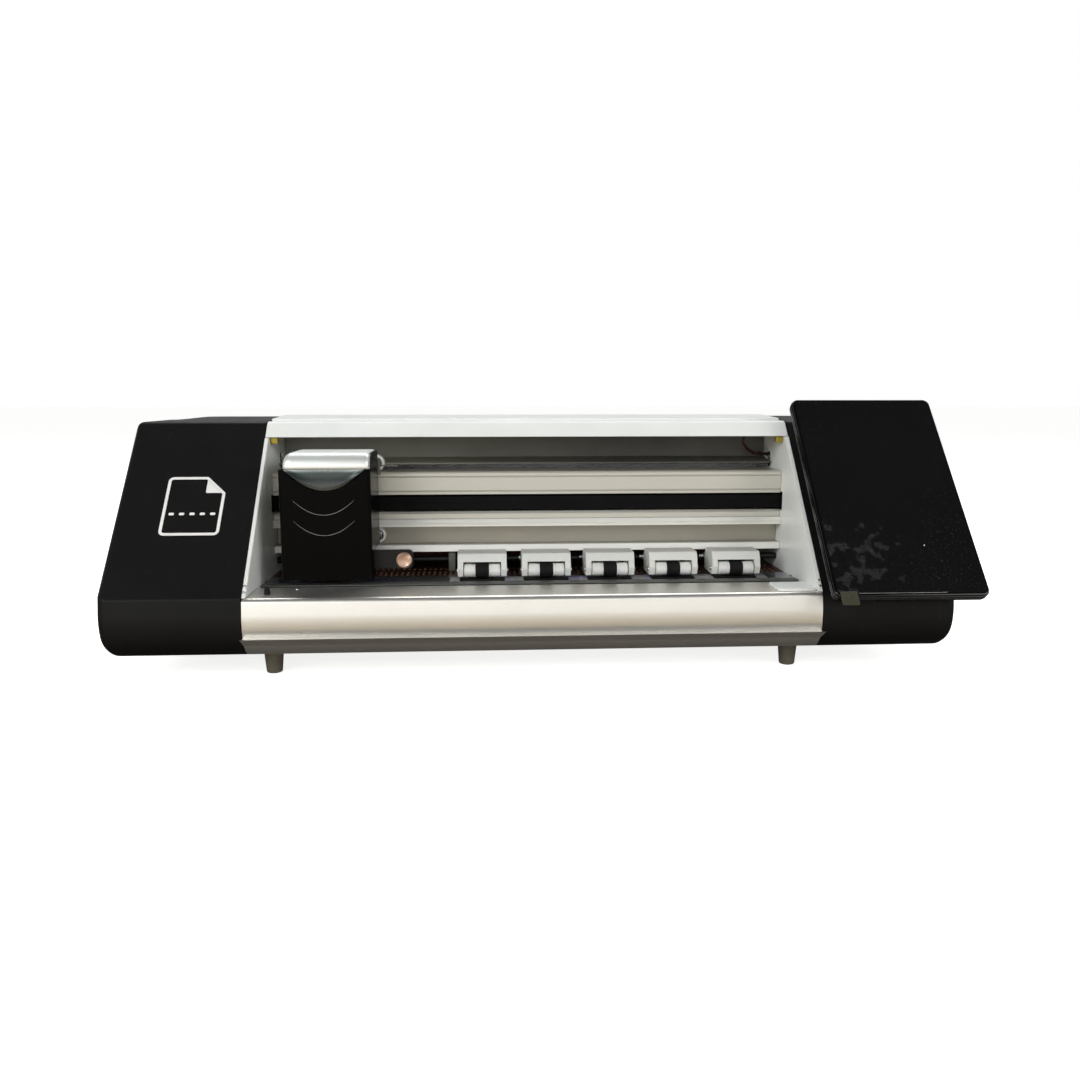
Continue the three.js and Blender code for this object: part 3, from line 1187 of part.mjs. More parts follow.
/** The control board with its chips and standoffs, on the right cap's outer wall. */
function controlBoard() {
  const thick = BOARD_THICKNESS;
  const stand = BOARD_STAND;
  const halfY = BOARD_DEPTH / 2;
  const halfZ = BOARD_HEIGHT / 2;
  const postY = halfY - BOARD_POST_INSET;
  const postZ = halfZ - BOARD_POST_INSET;
  const chips = [
    [[-7, -20, -10], [0, 0, 12]], [[-12, 10, -30], [0, 26, -8]], [[-9, -30, -34], [0, -12, -18]],
    [[-14, 8, 14], [0, 24, 32]],
  ].map(([low, high]) => box(low, [high[0] + 0.5, high[1], high[2]]));
  const posts = [[1, 1], [1, -1], [-1, 1], [-1, -1]].map(([a, b]) =>
    rod('x', BOARD_POST_RADIUS, JOIN, stand + thick, 10).translate(0, a * postY, b * postZ));
  const board = shaped([box([0, -halfY, -halfZ], [thick, halfY, halfZ]), ...chips, ...posts]);
  const x = HALF_BODY - CAP_WALL - GAP - stand - thick;
  const y = REAR - CAP_WALL - BOARD_FROM_REAR - halfY;
  return part('control_board', board, 'board', [x, y, UNDERSIDE + BOARD_FROM_UNDERSIDE + halfZ]);
}

/** The power module: a flanged block with the inlet's socket and a bay for the rocker. */
function powerModule() {
  const halfW = INLET_WIDTH / 2;
  const halfH = INLET_HEIGHT / 2;
  const skin = INLET_RIM + GAP;
  const socketX = -halfW + SOCKET_MARGIN + SOCKET_WIDTH / 2;
  const rockerX = halfW - ROCKER_MARGIN - ROCKER_WIDTH / 2;
  const block = shaped(
    [box([-halfW, GAP, -halfH], [halfW, INLET_FLANGE, halfH]),
      box([-halfW + skin, -INLET_BODY_DEPTH, -halfH + skin], [halfW - skin, JOIN, halfH - skin])],
    [box([socketX - SOCKET_WIDTH / 2, -SOCKET_DEPTH, -SOCKET_HEIGHT / 2],
      [socketX + SOCKET_WIDTH / 2, INLET_FLANGE + CUT, SOCKET_HEIGHT / 2]),
    box([rockerX - ROCKER_WIDTH / 2 - GAP, -ROCKER_BAY_DEPTH, -ROCKER_HEIGHT / 2 - GAP],
      [rockerX + ROCKER_WIDTH / 2 + GAP, INLET_FLANGE + CUT, ROCKER_HEIGHT / 2 + GAP])]);
  const pins = [[-PIN_SPACING, 0], [0, EARTH_PIN_LIFT], [PIN_SPACING, 0]].map(([x, z]) =>
    box([socketX + x - PIN_HALF_WIDTH, -SOCKET_DEPTH - JOIN, z - PIN_HALF_HEIGHT],
      [socketX + x + PIN_HALF_WIDTH, PIN_LENGTH - SOCKET_DEPTH, z + PIN_HALF_HEIGHT]));
  const half = ROCKER_HEIGHT / 2 - 0.6;
  const rocker = part('power_rocker', pushed('x', [
    [-6, -3], [-1, -half], [2.2, -half], [0.9, 0], [2.2, half], [-1, half], [-6, 3],
  ], -ROCKER_WIDTH / 2, ROCKER_WIDTH / 2), 'gloss', [rockerX, -ROCKER_SETBACK, 0]);
  rocker.rotation.x = -THREE.MathUtils.degToRad(ROCKER_TILT);
  return assembly([INLET_X, REAR, INLET_Z],
    part('power_inlet', shaped([block, ...pins]), 'moulded'), rocker);
}

/** The data socket beside the power module. */
function dataSocket() {
  const halfW = USB_WIDTH / 2;
  const halfH = USB_HEIGHT / 2;
  const shell = shaped(
    [box([-halfW, -USB_DEPTH, -halfH], [halfW, 0, halfH])],
    [box([USB_WALL - halfW, -USB_MOUTH_DEPTH, USB_WALL - halfH], [halfW - USB_WALL, CUT, halfH - USB_WALL])]);
  return part('data_socket', shell, 'steel', [USB_X, REAR, USB_Z]);
}

// ---------------------------------------------------------------- the whole machine
/** Everything that stays still, placed from the crease and the ground. */
function chassis() {
  return [
    sidePlates(), leftCap(), rightCap(), frontExtrusion(), topBeam(), topCover(), rearBaffle(), basePlate(),
    gantryRail(), platen(), cuttingStrip(), rearGuide(), feet(), cornerBlocks(), lampWire(), carriageMotor(),
    feedMotor(), idlerBracket(), carriageBelt(), shaftBearings(), pivotRod(), controlBoard(), powerModule(),
    dataSocket(), touchScreen(),
  ].flat();
}

/** Everything that turns with the belt or the feed shaft. */
function drives() {
  const pulleyX = HALF_OPENING + PULLEY_OFFSET;
  return [
    beltPulley('motor_pulley', -pulleyX),
    beltPulley('idler_pulley', pulleyX),
    assembly([0, FEED_Y, SHAFT_Z], feedShaft(), shaftCoupling()),
  ];
}

const parts = assembly([0, 0, 0], chassis(), drives(), pinchUnits(), carriage());
const machine = new THREE.Group();
machine.add(parts);
const middle = new THREE.Box3().setFromObject(machine).getCenter(new THREE.Vector3());
parts.position.set(-middle.x, -middle.y, 0);

export default machine;
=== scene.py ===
"""Looks of a desktop vinyl and film cutter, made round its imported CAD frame.

Each sub-assembly is a class that holds its sizes in metres, takes its places from the frame, and makes and
dresses its own pieces. +X is to the right, +Y to the back and +Z up.
"""

import logging
import math
from dataclasses import dataclass
from enum import Enum

import bmesh
import bpy
from mathutils import Euler, Matrix, Vector


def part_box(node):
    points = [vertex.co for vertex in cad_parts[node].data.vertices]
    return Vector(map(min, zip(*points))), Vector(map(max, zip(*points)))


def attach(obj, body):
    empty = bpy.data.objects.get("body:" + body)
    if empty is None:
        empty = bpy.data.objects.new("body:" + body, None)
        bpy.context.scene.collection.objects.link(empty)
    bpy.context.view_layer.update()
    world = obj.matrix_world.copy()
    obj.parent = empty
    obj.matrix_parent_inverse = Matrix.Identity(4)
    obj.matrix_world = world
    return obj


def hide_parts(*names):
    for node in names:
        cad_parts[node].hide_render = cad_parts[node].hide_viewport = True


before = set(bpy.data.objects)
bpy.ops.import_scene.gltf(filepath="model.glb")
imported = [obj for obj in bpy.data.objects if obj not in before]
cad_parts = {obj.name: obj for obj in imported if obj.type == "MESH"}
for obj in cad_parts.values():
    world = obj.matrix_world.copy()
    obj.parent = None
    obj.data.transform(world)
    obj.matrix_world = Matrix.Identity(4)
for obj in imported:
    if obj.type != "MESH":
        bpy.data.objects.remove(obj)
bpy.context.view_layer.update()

LOG = logging.getLogger("vinyl_cutter")

Object = bpy.types.Object
Socket = bpy.types.NodeSocket
Pair = tuple[float, float]
Corner = tuple[float, float, float]
Distance = float | list[float]


# ---------------------------------------------------------------- places
class Axis(Enum):
    """The way that a flat outline is pushed or turned."""

    X = "x"
    Y = "y"
    Z = "z"

    def point(self, a: float, b: float, along: float) -> Vector:
        """A point from two outline values and a place along the axis: (y, z), (z, x) or (x, y) come first."""
        if self is Axis.X:
            return Vector((along, a, b))
        return Vector((b, along, a)) if self is Axis.Y else Vector((a, b, along))


@dataclass(frozen=True)
class Span:
    """The box that a CAD node fills at rest."""

    low: Vector
    high: Vector

    @classmethod
    def of(cls, node: str) -> "Span":
        """The span of one CAD node."""
        return cls(*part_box(node))

    @property
    def middle(self) -> Vector:
        """The middle of the box."""
        return (self.low + self.high) / 2

    @property
    def size(self) -> Vector:
        """The box's three lengths."""
        return self.high - self.low


def rounded(corners: list[Corner], steps: int = 6) -> list[Pair]:
    """Rounds the corners of a closed outline with arcs.

    Args:
        corners: (a, b, radius) for each corner.
        steps: pieces in each arc.

    Returns:
        The points of the outline, the same number for outlines of the same corners.
    """
    loop = []
    for index, (a, b, radius) in enumerate(corners):
        here = Vector((a, b))
        inward = (Vector(corners[index - 1][:2]) - here).normalized()
        outward = (Vector(corners[(index + 1) % len(corners)][:2]) - here).normalized()
        if radius <= 0:
            loop.append((a, b))
            continue
        half = inward.angle(outward) / 2
        centre = here + (inward + outward).normalized() * radius / math.sin(half)
        start = here + inward * radius / math.tan(half) - centre
        end = here + outward * radius / math.tan(half) - centre
        first = math.atan2(start.y, start.x)
        turn = (math.atan2(end.y, end.x) - first + math.pi) % (2 * math.pi) - math.pi
        for step in range(steps + 1):
            angle = first + turn * step / steps
            loop.append((centre.x + radius * math.cos(angle), centre.y + radius * math.sin(angle)))
    return loop


def inset(corners: list[Corner], distance: Distance) -> list[Corner]:
    """Moves the edges of a convex anticlockwise outline inward.

    Args:
        corners: (a, b, radius) for each corner.
        distance: how far, one value or one for each edge, the first from the first corner to the second.

    Returns:
        The new corners, with radii to suit.
    """
    count = len(corners)
    moves = distance if isinstance(distance, list) else [distance] * count
    lines = []
    for index in range(count):
        one, two = Vector(corners[index][:2]), Vector(corners[(index + 1) % count][:2])
        along = (two - one).normalized()
        normal = Vector((-along.y, along.x))
        lines.append((normal, normal.dot(one) + moves[index]))
    result = []
    for index in range(count):
        (n1, d1), (n2, d2) = lines[index - 1], lines[index]
        det = n1.x * n2.y - n1.y * n2.x
        shrink = (moves[index - 1] + moves[index]) / 2
        result.append(((d1 * n2.y - d2 * n1.y) / det, (d2 * n1.x - d1 * n2.x) / det,
                       max(corners[index][2] - shrink, 0.0004)))
    return result


def rectangle(width: float, height: float, radius: float) -> list[Corner]:
    """Corners of an upright rectangle round the origin."""
    a, b = width / 2, height / 2
    return [(-a, -b, radius), (a, -b, radius), (a, b, radius), (-a, b, radius)]


# ---------------------------------------------------------------- meshes
def made(name: str, vertices: list[Vector], faces: list[tuple[int, ...]], smooth: float = 35.0) -> Object:
    """Makes an object with merged points and outward faces, smooth except at edges sharper than an angle."""
    mesh = bpy.data.meshes.new(name)
    mesh.from_pydata(vertices, [], faces)
    work = bmesh.new()
    work.from_mesh(mesh)
    bmesh.ops.remove_doubles(work, verts=work.verts, dist=2e-7)
    bmesh.ops.recalc_face_normals(work, faces=work.faces)
    work.to_mesh(mesh)
    work.free()
    return shown(name, mesh, smooth)


def shown(name: str, mesh: bpy.types.Mesh, smooth: float = 35.0) -> Object:
    """Links a mesh into the scene as an object, with smooth shading below an angle."""
    mesh.shade_smooth()
    mesh.set_sharp_from_angle(angle=math.radians(smooth))
    piece = bpy.data.objects.new(name, mesh)
    bpy.context.scene.collection.objects.link(piece)
    return piece


def loft(name: str, loops: list[list[Vector]], ring: bool = True, cycle: bool = False,
         smooth: float = 35.0) -> Object:
    """Makes a skin through loops of equal point count.

    Args:
        name: the object's name.
        loops: the points of each loop, in order.
        ring: whether each loop closes on itself.
        cycle: whether the last loop joins the first. Otherwise both ends of a ring get a lid.
        smooth: the angle below which edges are shaded smooth, in degrees.

    Returns:
        The new object.
    """
    count = len(loops[0])
    vertices = [point for loop in loops for point in loop]
    faces = []
    for level in range(len(loops) if cycle else len(loops) - 1):
        here, there = level * count, (level + 1) % len(loops) * count
        for index in range(count if ring else count - 1):
            after = (index + 1) % count
            faces.append((here + index, here + after, there + after, there + index))
    if ring and not cycle:
        faces.append(tuple(range(count)))
        faces.append(tuple(range((len(loops) - 1) * count, len(loops) * count)))
    return made(name, vertices, faces, smooth)


def prism(name: str, axis: Axis, outline: list[Pair], start: float, end: float) -> Object:
    """Pushes a flat outline along an axis."""
    return loft(name, [[axis.point(a, b, along) for a, b in outline] for along in (start, end)])


def block(name: str, low: Vector, high: Vector, radius: float = 0.0) -> Object:
    """A box between two corners, its upright edges rounded."""
    middle = (low + high) / 2
    corners = rectangle(high.x - low.x, high.y - low.y, radius)
    outline = [(middle.x + a, middle.y + b) for a, b in rounded(corners)]
    return prism(name, Axis.Z, outline, low.z, high.z)


def lathe(name: str, axis: Axis, centre: Vector, profile: list[Pair], segments: int = 48,
          smooth: float = 35.0) -> Object:
    """Turns a profile of (radius, along) points round an axis through a centre."""
    loops = []
    for index in range(segments):
        turn = 2 * math.pi * index / segments
        loops.append([centre + axis.point(r * math.cos(turn), r * math.sin(turn), along)
                      for r, along in profile])
    return loft(name, loops, ring=False, cycle=True, smooth=smooth)


def sweep(name: str, points: list[Vector], radius: Distance, sides: int = 10) -> Object:
    """Runs a round section along a path; the radius is one value or one for each point."""
    radii = radius if isinstance(radius, list) else [radius] * len(points)
    loops, side = [], Vector((0.13, 0.31, 0.94))
    for index, point in enumerate(points):
        ahead = points[min(index + 1, len(points) - 1)] - points[max(index - 1, 0)]
        side = (side - ahead * side.dot(ahead) / ahead.length_squared).normalized()
        other = ahead.normalized().cross(side)
        turns = [2 * math.pi * step / sides for step in range(sides)]
        loops.append([point + (side * math.cos(t) + other * math.sin(t)) * radii[index] for t in turns])
    return loft(name, loops)


def flowing(points: list[Vector], steps: int = 8) -> list[Vector]:
    """A smooth curve through a few points."""
    ends = [points[0] * 2 - points[1], *points, points[-1] * 2 - points[-2]]
    path = []
    for a, b, c, d in zip(ends, ends[1:], ends[2:], ends[3:]):
        for step in range(steps):
            t = step / steps
            path.append((b * 2 + (c - a) * t + (a * 2 - b * 5 + c * 4 - d) * t * t
                         + (b * 3 - a - c * 3 + d) * t ** 3) / 2)
    return path + [points[-1]]


def settled(piece: Object) -> Object:
    """Replaces a piece's mesh by what its modifiers make of it."""
    graph = bpy.context.evaluated_depsgraph_get()
    mesh = bpy.data.meshes.new_from_object(piece.evaluated_get(graph))
    piece.modifiers.clear()
    piece.data = mesh
    return piece


def carved(piece: Object, *tools: Object, operation: str = "DIFFERENCE") -> Object:
    """Cuts tools from a piece, or joins them to it, and removes the tools."""
    for tool in tools:
        cut = piece.modifiers.new("carve", "BOOLEAN")
        cut.operation = operation
        cut.solver = "EXACT"
        cut.object = tool
        settled(piece)
        bpy.data.objects.remove(tool)
    piece.data.shade_smooth()
    piece.data.set_sharp_from_angle(angle=math.radians(35))
    return piece


def eased(piece: Object, width: float, segments: int = 3, angle: float = 32.0) -> Object:
    """Rounds a piece's sharp edges with a bevel."""
    bevel = piece.modifiers.new("eased_edges", "BEVEL")
    bevel.width = width
    bevel.segments = segments
    bevel.limit_method = "ANGLE"
    bevel.angle_limit = math.radians(angle)
    bevel.harden_normals = True
    return piece


def fused(name: str, *pieces: Object) -> Object:
    """Joins several pieces' finished meshes into one object and removes them."""
    work = bmesh.new()
    for piece in pieces:
        work.from_mesh(settled(piece).data)
        bpy.data.objects.remove(piece)
    mesh = bpy.data.meshes.new(name)
    work.to_mesh(mesh)
    work.free()
    return shown(name, mesh)


def cad_copy(node: str, name: str, edge: float, segments: int = 2, smooth: float = 32.0) -> Object:
    """A merged copy of a CAD node, its flat faces joined and its edges eased.

    Args:
        node: the CAD node to copy.
        name: the new piece's name.
        edge: width of the eased edges, or 0 for none.
        segments: steps in each eased edge.
        smooth: the angle below which edges are shaded smooth and left as they are, in degrees.

    Returns:
        The new piece.
    """
    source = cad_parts[node].data
    mesh = bpy.data.meshes.new(name)
    mesh.from_pydata([v.co for v in source.vertices], [], [tuple(f.vertices) for f in source.polygons])
    work = bmesh.new()
    work.from_mesh(mesh)
    bmesh.ops.remove_doubles(work, verts=work.verts, dist=1e-6)
    bmesh.ops.dissolve_limit(work, angle_limit=math.radians(0.5), verts=work.verts, edges=work.edges)
    work.to_mesh(mesh)
    work.free()
    piece = shown(name, mesh, smooth)
    return eased(piece, edge, segments, smooth) if edge else piece


# ---------------------------------------------------------------- finishes
def linear(colour: int) -> tuple[float, float, float, float]:
    """The linear value of a colour written as 0xRRGGBB."""
    shares = [(colour >> shift & 255) / 255 for shift in (16, 8, 0)]
    return (*[s / 12.92 if s <= 0.04045 else ((s + 0.055) / 1.055) ** 2.4 for s in shares], 1.0)


class Sheet:
    """The node tree of one material, written node by node."""

    def __init__(self, name: str) -> None:
        """Starts a material whose shader is a Principled BSDF."""
        self.material = bpy.data.materials.new(name)
        self.material.use_nodes = True
        self.tree = self.material.node_tree
        self.shader = self.tree.nodes["Principled BSDF"]
        self.place = self.add("ShaderNodeTexCoord").outputs["Object"]

    def add(self, kind: str, values: dict | None = None, **settings: object) -> bpy.types.Node:
        """Adds a node, with settings, and values or sockets for its inputs."""
        node = self.tree.nodes.new(kind)
        for key, value in settings.items():
            setattr(node, key, value)
        for key, value in (values or {}).items():
            self.feed(node.inputs[key], value)
        return node

    def feed(self, socket: Socket, value: object) -> None:
        """Links a socket to an input, or sets its value."""
        if isinstance(value, bpy.types.NodeSocket):
            self.tree.links.new(value, socket)
        else:
            socket.default_value = value

    def noise(self, scale: float, detail: float = 3.0, stretch: Corner = (1.0, 1.0, 1.0)) -> Socket:
        """Soft noise with a number of cells to the metre, from 0 to 1."""
        turned = self.add("ShaderNodeMapping", {"Vector": self.place, "Scale": stretch})
        return self.add("ShaderNodeTexNoise", {
            "Vector": turned.outputs[0], "Scale": scale, "Detail": detail}).outputs["Fac"]

    def fit(self, value: Socket, old: Pair, new: Pair) -> Socket:
        """Maps a value from one range to another, and stops at its ends."""
        return self.add("ShaderNodeMapRange", {
            "Value": value, 1: old[0], 2: old[1], 3: new[0], 4: new[1]}).outputs["Result"]

    def sum(self, operation: str, one: object, two: object) -> Socket:
        """A step of arithmetic."""
        return self.add("ShaderNodeMath", {0: one, 1: two}, operation=operation).outputs[0]

    def blend(self, share: object, one: object, two: object) -> Socket:
        """Mixes two colours."""
        return self.add("ShaderNodeMix", {0: share, 6: one, 7: two}, data_type="RGBA").outputs[2]


@dataclass(frozen=True)
class Finish:
    """A finish: its colour, sheen, fine grain, slow drift of tone, faint scuffs and settled dust."""

    name: str
    colour: int
    roughness: float = 0.45
    metallic: float = 0.0
    drift: float = 0.10
    grain: float = 1500.0
    stretch: Corner = (1.0, 1.0, 1.0)
    relief: float = 0.12
    spread: float = 0.08
    worn: float = 0.0
    dust: float = 0.0
    coat: float = 0.0
    alpha: float = 1.0
    glow: float = 0.0
    soft: float = 0.0
    gleam: float = 0.5

    def tone(self, sheet: Sheet) -> Socket:
        """The colour with its slow drift from place to place."""
        base = linear(self.colour)
        dark = (*[c * (1 - self.drift) for c in base[:3]], 1.0)
        light = (*[min(c * (1 + self.drift), 1.0) for c in base[:3]], 1.0)
        return sheet.blend(sheet.fit(sheet.noise(22.0), (0.35, 0.65), (0.0, 1.0)), dark, light)

    def pattern(self, sheet: Sheet, colour: Socket) -> Socket:
        """What a finish of its own kind adds to the colour; a plain finish adds nothing."""
        return colour

    def wear(self, sheet: Sheet) -> Socket:
        """How scuffed a spot is: 0 nearly everywhere, with a few faint rubbed marks."""
        return sheet.fit(sheet.noise(130.0, 8.0, (1.0, 0.3, 0.3)), (0.66, 0.74), (0.0, self.worn))

    def settle(self, sheet: Sheet, colour: Socket) -> Socket:
        """Pale dust on what faces up."""
        flat = sheet.add("ShaderNodeNewGeometry").outputs["True Normal"]
        up = sheet.add("ShaderNodeSeparateXYZ", {0: flat}).outputs[2]
        share = sheet.sum("MULTIPLY", sheet.fit(up, (0.5, 1.0), (0.0, self.dust)),
                          sheet.fit(sheet.noise(95.0, 6.0), (0.4, 0.7), (0.2, 1.0)))
        return sheet.blend(share, colour, linear(0xA8A59C))

    def material(self) -> bpy.types.Material:
        """The finish as a material, made once."""
        label = self.name + "_finish"
        found = bpy.data.materials.get(label)
        if found:
            return found
        sheet = Sheet(label)
        shader, grain = sheet.shader, sheet.noise(self.grain, 2.0, self.stretch)
        colour = self.pattern(sheet, self.tone(sheet))
        colour = self.settle(sheet, colour) if self.dust else colour
        low, high = max(self.roughness - self.spread, 0.02), min(self.roughness + self.spread, 1.0)
        rough = sheet.fit(sheet.sum("ADD", grain, sheet.noise(60.0)), (0.7, 1.3), (low, high))
        if self.worn:
            worn = self.wear(sheet)
            pale = (*[min(0.55 * c + 0.16, 1.0) for c in linear(self.colour)[:3]], 1.0)
            colour = sheet.blend(worn, colour, pale)
            rough = sheet.sum("SUBTRACT", rough, sheet.sum("MULTIPLY", worn, 0.12))
        bump = sheet.add("ShaderNodeBump", {"Strength": self.relief, "Distance": 0.0002, "Height": grain})
        sheet.feed(shader.inputs["Base Color"], colour)
        sheet.feed(shader.inputs["Roughness"], rough)
        sheet.feed(shader.inputs["Normal"], bump.outputs[0])
        shader.inputs["Metallic"].default_value = self.metallic
        shader.inputs["Coat Weight"].default_value = self.coat
        shader.inputs["Coat Roughness"].default_value = 0.06
        shader.inputs["Specular IOR Level"].default_value = self.gleam
        shader.inputs["Subsurface Weight"].default_value = self.soft
        shader.inputs["Subsurface Scale"].default_value = 0.004
        shader.inputs["Alpha"].default_value = self.alpha
        if self.glow:
            shader.inputs["Emission Color"].default_value = linear(self.colour)
            shader.inputs["Emission Strength"].default_value = self.glow
        self.complete(sheet)
        return sheet.material

    def complete(self, sheet: Sheet) -> None:
        """What a finish of its own kind sets last; a plain finish sets nothing."""


@dataclass(frozen=True)
class TurnedFinish(Finish):
    """Metal faced on a lathe: fine rings round a centre, about the Y axis."""

    centre: Corner = (0.0, 0.0, 0.0)

    def pattern(self, sheet: Sheet, colour: Socket) -> Socket:
        """Adds bright and dark rings to the colour."""
        moved = sheet.add("ShaderNodeMapping", {
            "Vector": sheet.place, "Location": tuple(-c for c in self.centre)})
        rings = sheet.add("ShaderNodeTexWave", {
            "Vector": moved.outputs[0], "Scale": 420.0, "Distortion": 1.5},
            wave_type="RINGS", rings_direction="Y")
        dark = (*[c * 0.55 for c in linear(self.colour)[:3]], 1.0)
        return sheet.blend(sheet.fit(rings.outputs["Fac"], (0.2, 0.8), (0.0, 0.25)), colour, dark)


@dataclass(frozen=True)
class TintedFinish(Finish):
    """A finish with soft patches of a second colour."""

    tint: int = 0x8F86B4
    share: float = 0.5
    cells: float = 30.0

    def pattern(self, sheet: Sheet, colour: Socket) -> Socket:
        """Adds the patches to the colour."""
        patch = sheet.fit(sheet.noise(self.cells, 1.0, (1.0, 0.6, 1.0)), (0.5, 0.62), (0.0, self.share))
        return sheet.blend(patch, colour, linear(self.tint))


@dataclass(frozen=True)
class GradedFinish(Finish):
    """A finish whose tone changes along one way; it lays painted shade, painted highlight, painted shadow and
    painted reflection along an axis.
    """

    way: Axis = Axis.Z
    stops: tuple[tuple[float, int], ...] = ((0.0, 0x000000), (1.0, 0xFFFFFF))

    def pattern(self, sheet: Sheet, colour: Socket) -> Socket:
        """Blends tones between places along the way, and keeps a little of the drift."""
        low, high = self.stops[0][0], self.stops[-1][0]
        parts = sheet.add("ShaderNodeSeparateXYZ", {0: sheet.place}).outputs
        along = parts["XYZ".index(self.way.name)]
        ramp = sheet.add("ShaderNodeValToRGB", {0: sheet.fit(along, (low, high), (0.0, 1.0))})
        elements = ramp.color_ramp.elements
        elements[0].color, elements[1].color = linear(self.stops[0][1]), linear(self.stops[-1][1])
        for place, tone in self.stops[1:-1]:
            elements.new((place - low) / (high - low)).color = linear(tone)
        return sheet.blend(self.drift, ramp.outputs[0], colour)


@dataclass(frozen=True)
class CircuitFinish(Finish):
    """A circuit board's lacquer, with paler copper runs under it."""

    def pattern(self, sheet: Sheet, colour: Socket) -> Socket:
        """Adds square-cornered runs to the colour."""
        turned = sheet.add("ShaderNodeMapping", {"Vector": sheet.place, "Rotation": (0.0, math.pi / 2, 0.0)})
        runs = sheet.add("ShaderNodeTexBrick", {
            "Vector": turned.outputs[0], "Scale": 190.0, "Mortar Size": 0.06, "Color1": (0, 0, 0, 1),
            "Color2": (0, 0, 0, 1), "Mortar": (1, 1, 1, 1)})
        return sheet.blend(sheet.sum("MULTIPLY", runs.outputs["Fac"], 0.5), colour, linear(0x4E8A50))


@dataclass(frozen=True)
class FilmFinish(Finish):
    """A clear protective film: almost unseen, with hazy blisters where air has crept under one corner."""

    corner: Corner = (0.0, 0.0, 0.0)
    reach: float = 0.05
    strongest: float = 0.035

    def complete(self, sheet: Sheet) -> None:
        """Makes the film show only where blisters are."""
        away = sheet.add("ShaderNodeVectorMath", {0: sheet.place, 1: self.corner}, operation="DISTANCE")
        near = sheet.fit(away.outputs["Value"], (self.reach * 0.25, self.reach), (0.16, -0.12))
        blister = sheet.fit(sheet.sum("ADD", sheet.noise(120.0, 1.5), near), (0.66, 0.70), (0.0, 1.0))
        haze = sheet.fit(sheet.noise(260.0, 4.0), (0.3, 0.7), (0.4, 1.0))
        shown_haze = sheet.sum("MULTIPLY", sheet.sum("MULTIPLY", blister, haze), self.strongest)
        sheet.feed(sheet.shader.inputs["Alpha"], sheet.sum("ADD", self.alpha, shown_haze))


CAP_BLACK = Finish("cap_black", 0x141414, 0.44, drift=0.07, grain=2600.0, relief=0.15, worn=0.03, dust=0.004,
                   spread=0.06, gleam=0.12)
WHITE_PAINT = Finish("white_paint", 0xF2F5F2, 0.38, drift=0.02, grain=1300.0, relief=0.10, dust=0.03)
SILVER = Finish("satin_silver", 0xE4E2DC, 0.36, 0.90, drift=0.012, grain=2600.0, stretch=(0.03, 1.0, 1.0),
                relief=0.008, spread=0.012)
# This finish shares its name with the rail's graded finish, which is made first, so the split coupling that uses
# it is drawn with the rail's painted highlight and painted shade.
RAIL_SILVER = Finish("rail_silver", 0xC4C3BA, 0.36, 0.5, drift=0.03, grain=1500.0, stretch=(0.010, 1.0, 1.0),
                     relief=0.16, spread=0.08)
STEEL = Finish("bright_steel", 0xC9CBCD, 0.22, 1.0, drift=0.05, grain=2200.0, stretch=(1.0, 0.06, 0.06),
               relief=0.10)
ZINC = Finish("yellow_zinc", 0xA3923A, 0.38, 0.55, drift=0.22, grain=900.0)
GREY_SHEET = Finish("grey_sheet", 0x6F6E65, 0.5, 0.15, drift=0.06, grain=1100.0, dust=0.06)
PLATEN_METAL = TintedFinish("platen_metal", 0xB4B8B4, 0.18, 0.85, drift=0.16, grain=1400.0,
                            stretch=(0.02, 1.0, 1.0), spread=0.1, tint=0xA79CD6, share=0.6)
RUBBER = Finish("black_rubber", 0x101110, 0.72, drift=0.15, grain=3400.0, relief=0.45, dust=0.02, gleam=0.25)
BELT_RUBBER = Finish("belt_rubber", 0x070708, 0.65, drift=0.1, grain=2400.0, relief=0.3, gleam=0.12)
STRIP_GREY = Finish("strip_grey", 0x575A55, 0.5, drift=0.1, grain=1600.0, stretch=(0.05, 1.0, 1.0),
                    relief=0.3)
NYLON = Finish("white_nylon", 0xE2E3DE, 0.34, drift=0.03, grain=1900.0, relief=0.08, soft=0.10)
HUB_NYLON = Finish("hub_nylon", 0xE9E9E5, 0.24, drift=0.03, grain=2200.0, soft=0.1, coat=0.3)
COVER_BLACK = Finish("cover_black", 0x020202, 0.22, drift=0.1, grain=2400.0, relief=0.05, spread=0.04,
                     gleam=0.07)
TOP_SILVER = Finish("top_silver", 0xECF1EE, 0.36, 0.5, drift=0.02, grain=3200.0, relief=0.03, spread=0.03)
MOULDED = Finish("moulded_black", 0x0E0E0F, 0.48, drift=0.12, grain=2400.0, relief=0.3, worn=0.05, gleam=0.3)
MOTOR_STEEL = Finish("motor_steel", 0x2A2B2D, 0.38, 0.6, drift=0.1, grain=1500.0, stretch=(1.0, 1.0, 14.0))
GLASS_BLACK = Finish("glass_black", 0x040405, 0.06, drift=0.1, grain=500.0, relief=0.0, spread=0.03)
SHELL_BLACK = Finish("shell_black", 0x080809, 0.24, drift=0.1, grain=2400.0, relief=0.05, worn=0.05,
                     gleam=0.35)
FOOT_RUBBER = Finish("foot_rubber", 0x686154, 0.42, drift=0.08, grain=1200.0, soft=0.3, relief=0.1)
GUIDE_BROWN = TintedFinish("guide_brown", 0x3A1C10, 0.45, drift=0.2, grain=900.0, tint=0x4C1B0C, share=0.6,
                           cells=24.0, dust=0.02, gleam=0.3)
DOT_BROWN = Finish("dot_brown", 0x8A6C5A, 0.35, drift=0.1)
BRUSH_BROWN = Finish("brush_brown", 0x6E3420, 0.6, drift=0.3, grain=2400.0, relief=0.2, gleam=0.3)
BOARD_GREEN = CircuitFinish("board_green", 0x1C5A35, 0.34, drift=0.08)
LAMP_WHITE = Finish("lamp_white", 0xF2F2E6, 0.4, glow=0.15)
WIRE_RED = Finish("wire_red", 0x4E1216, 0.42)
WIRE_BLACK = Finish("wire_black", 0x101010, 0.45)
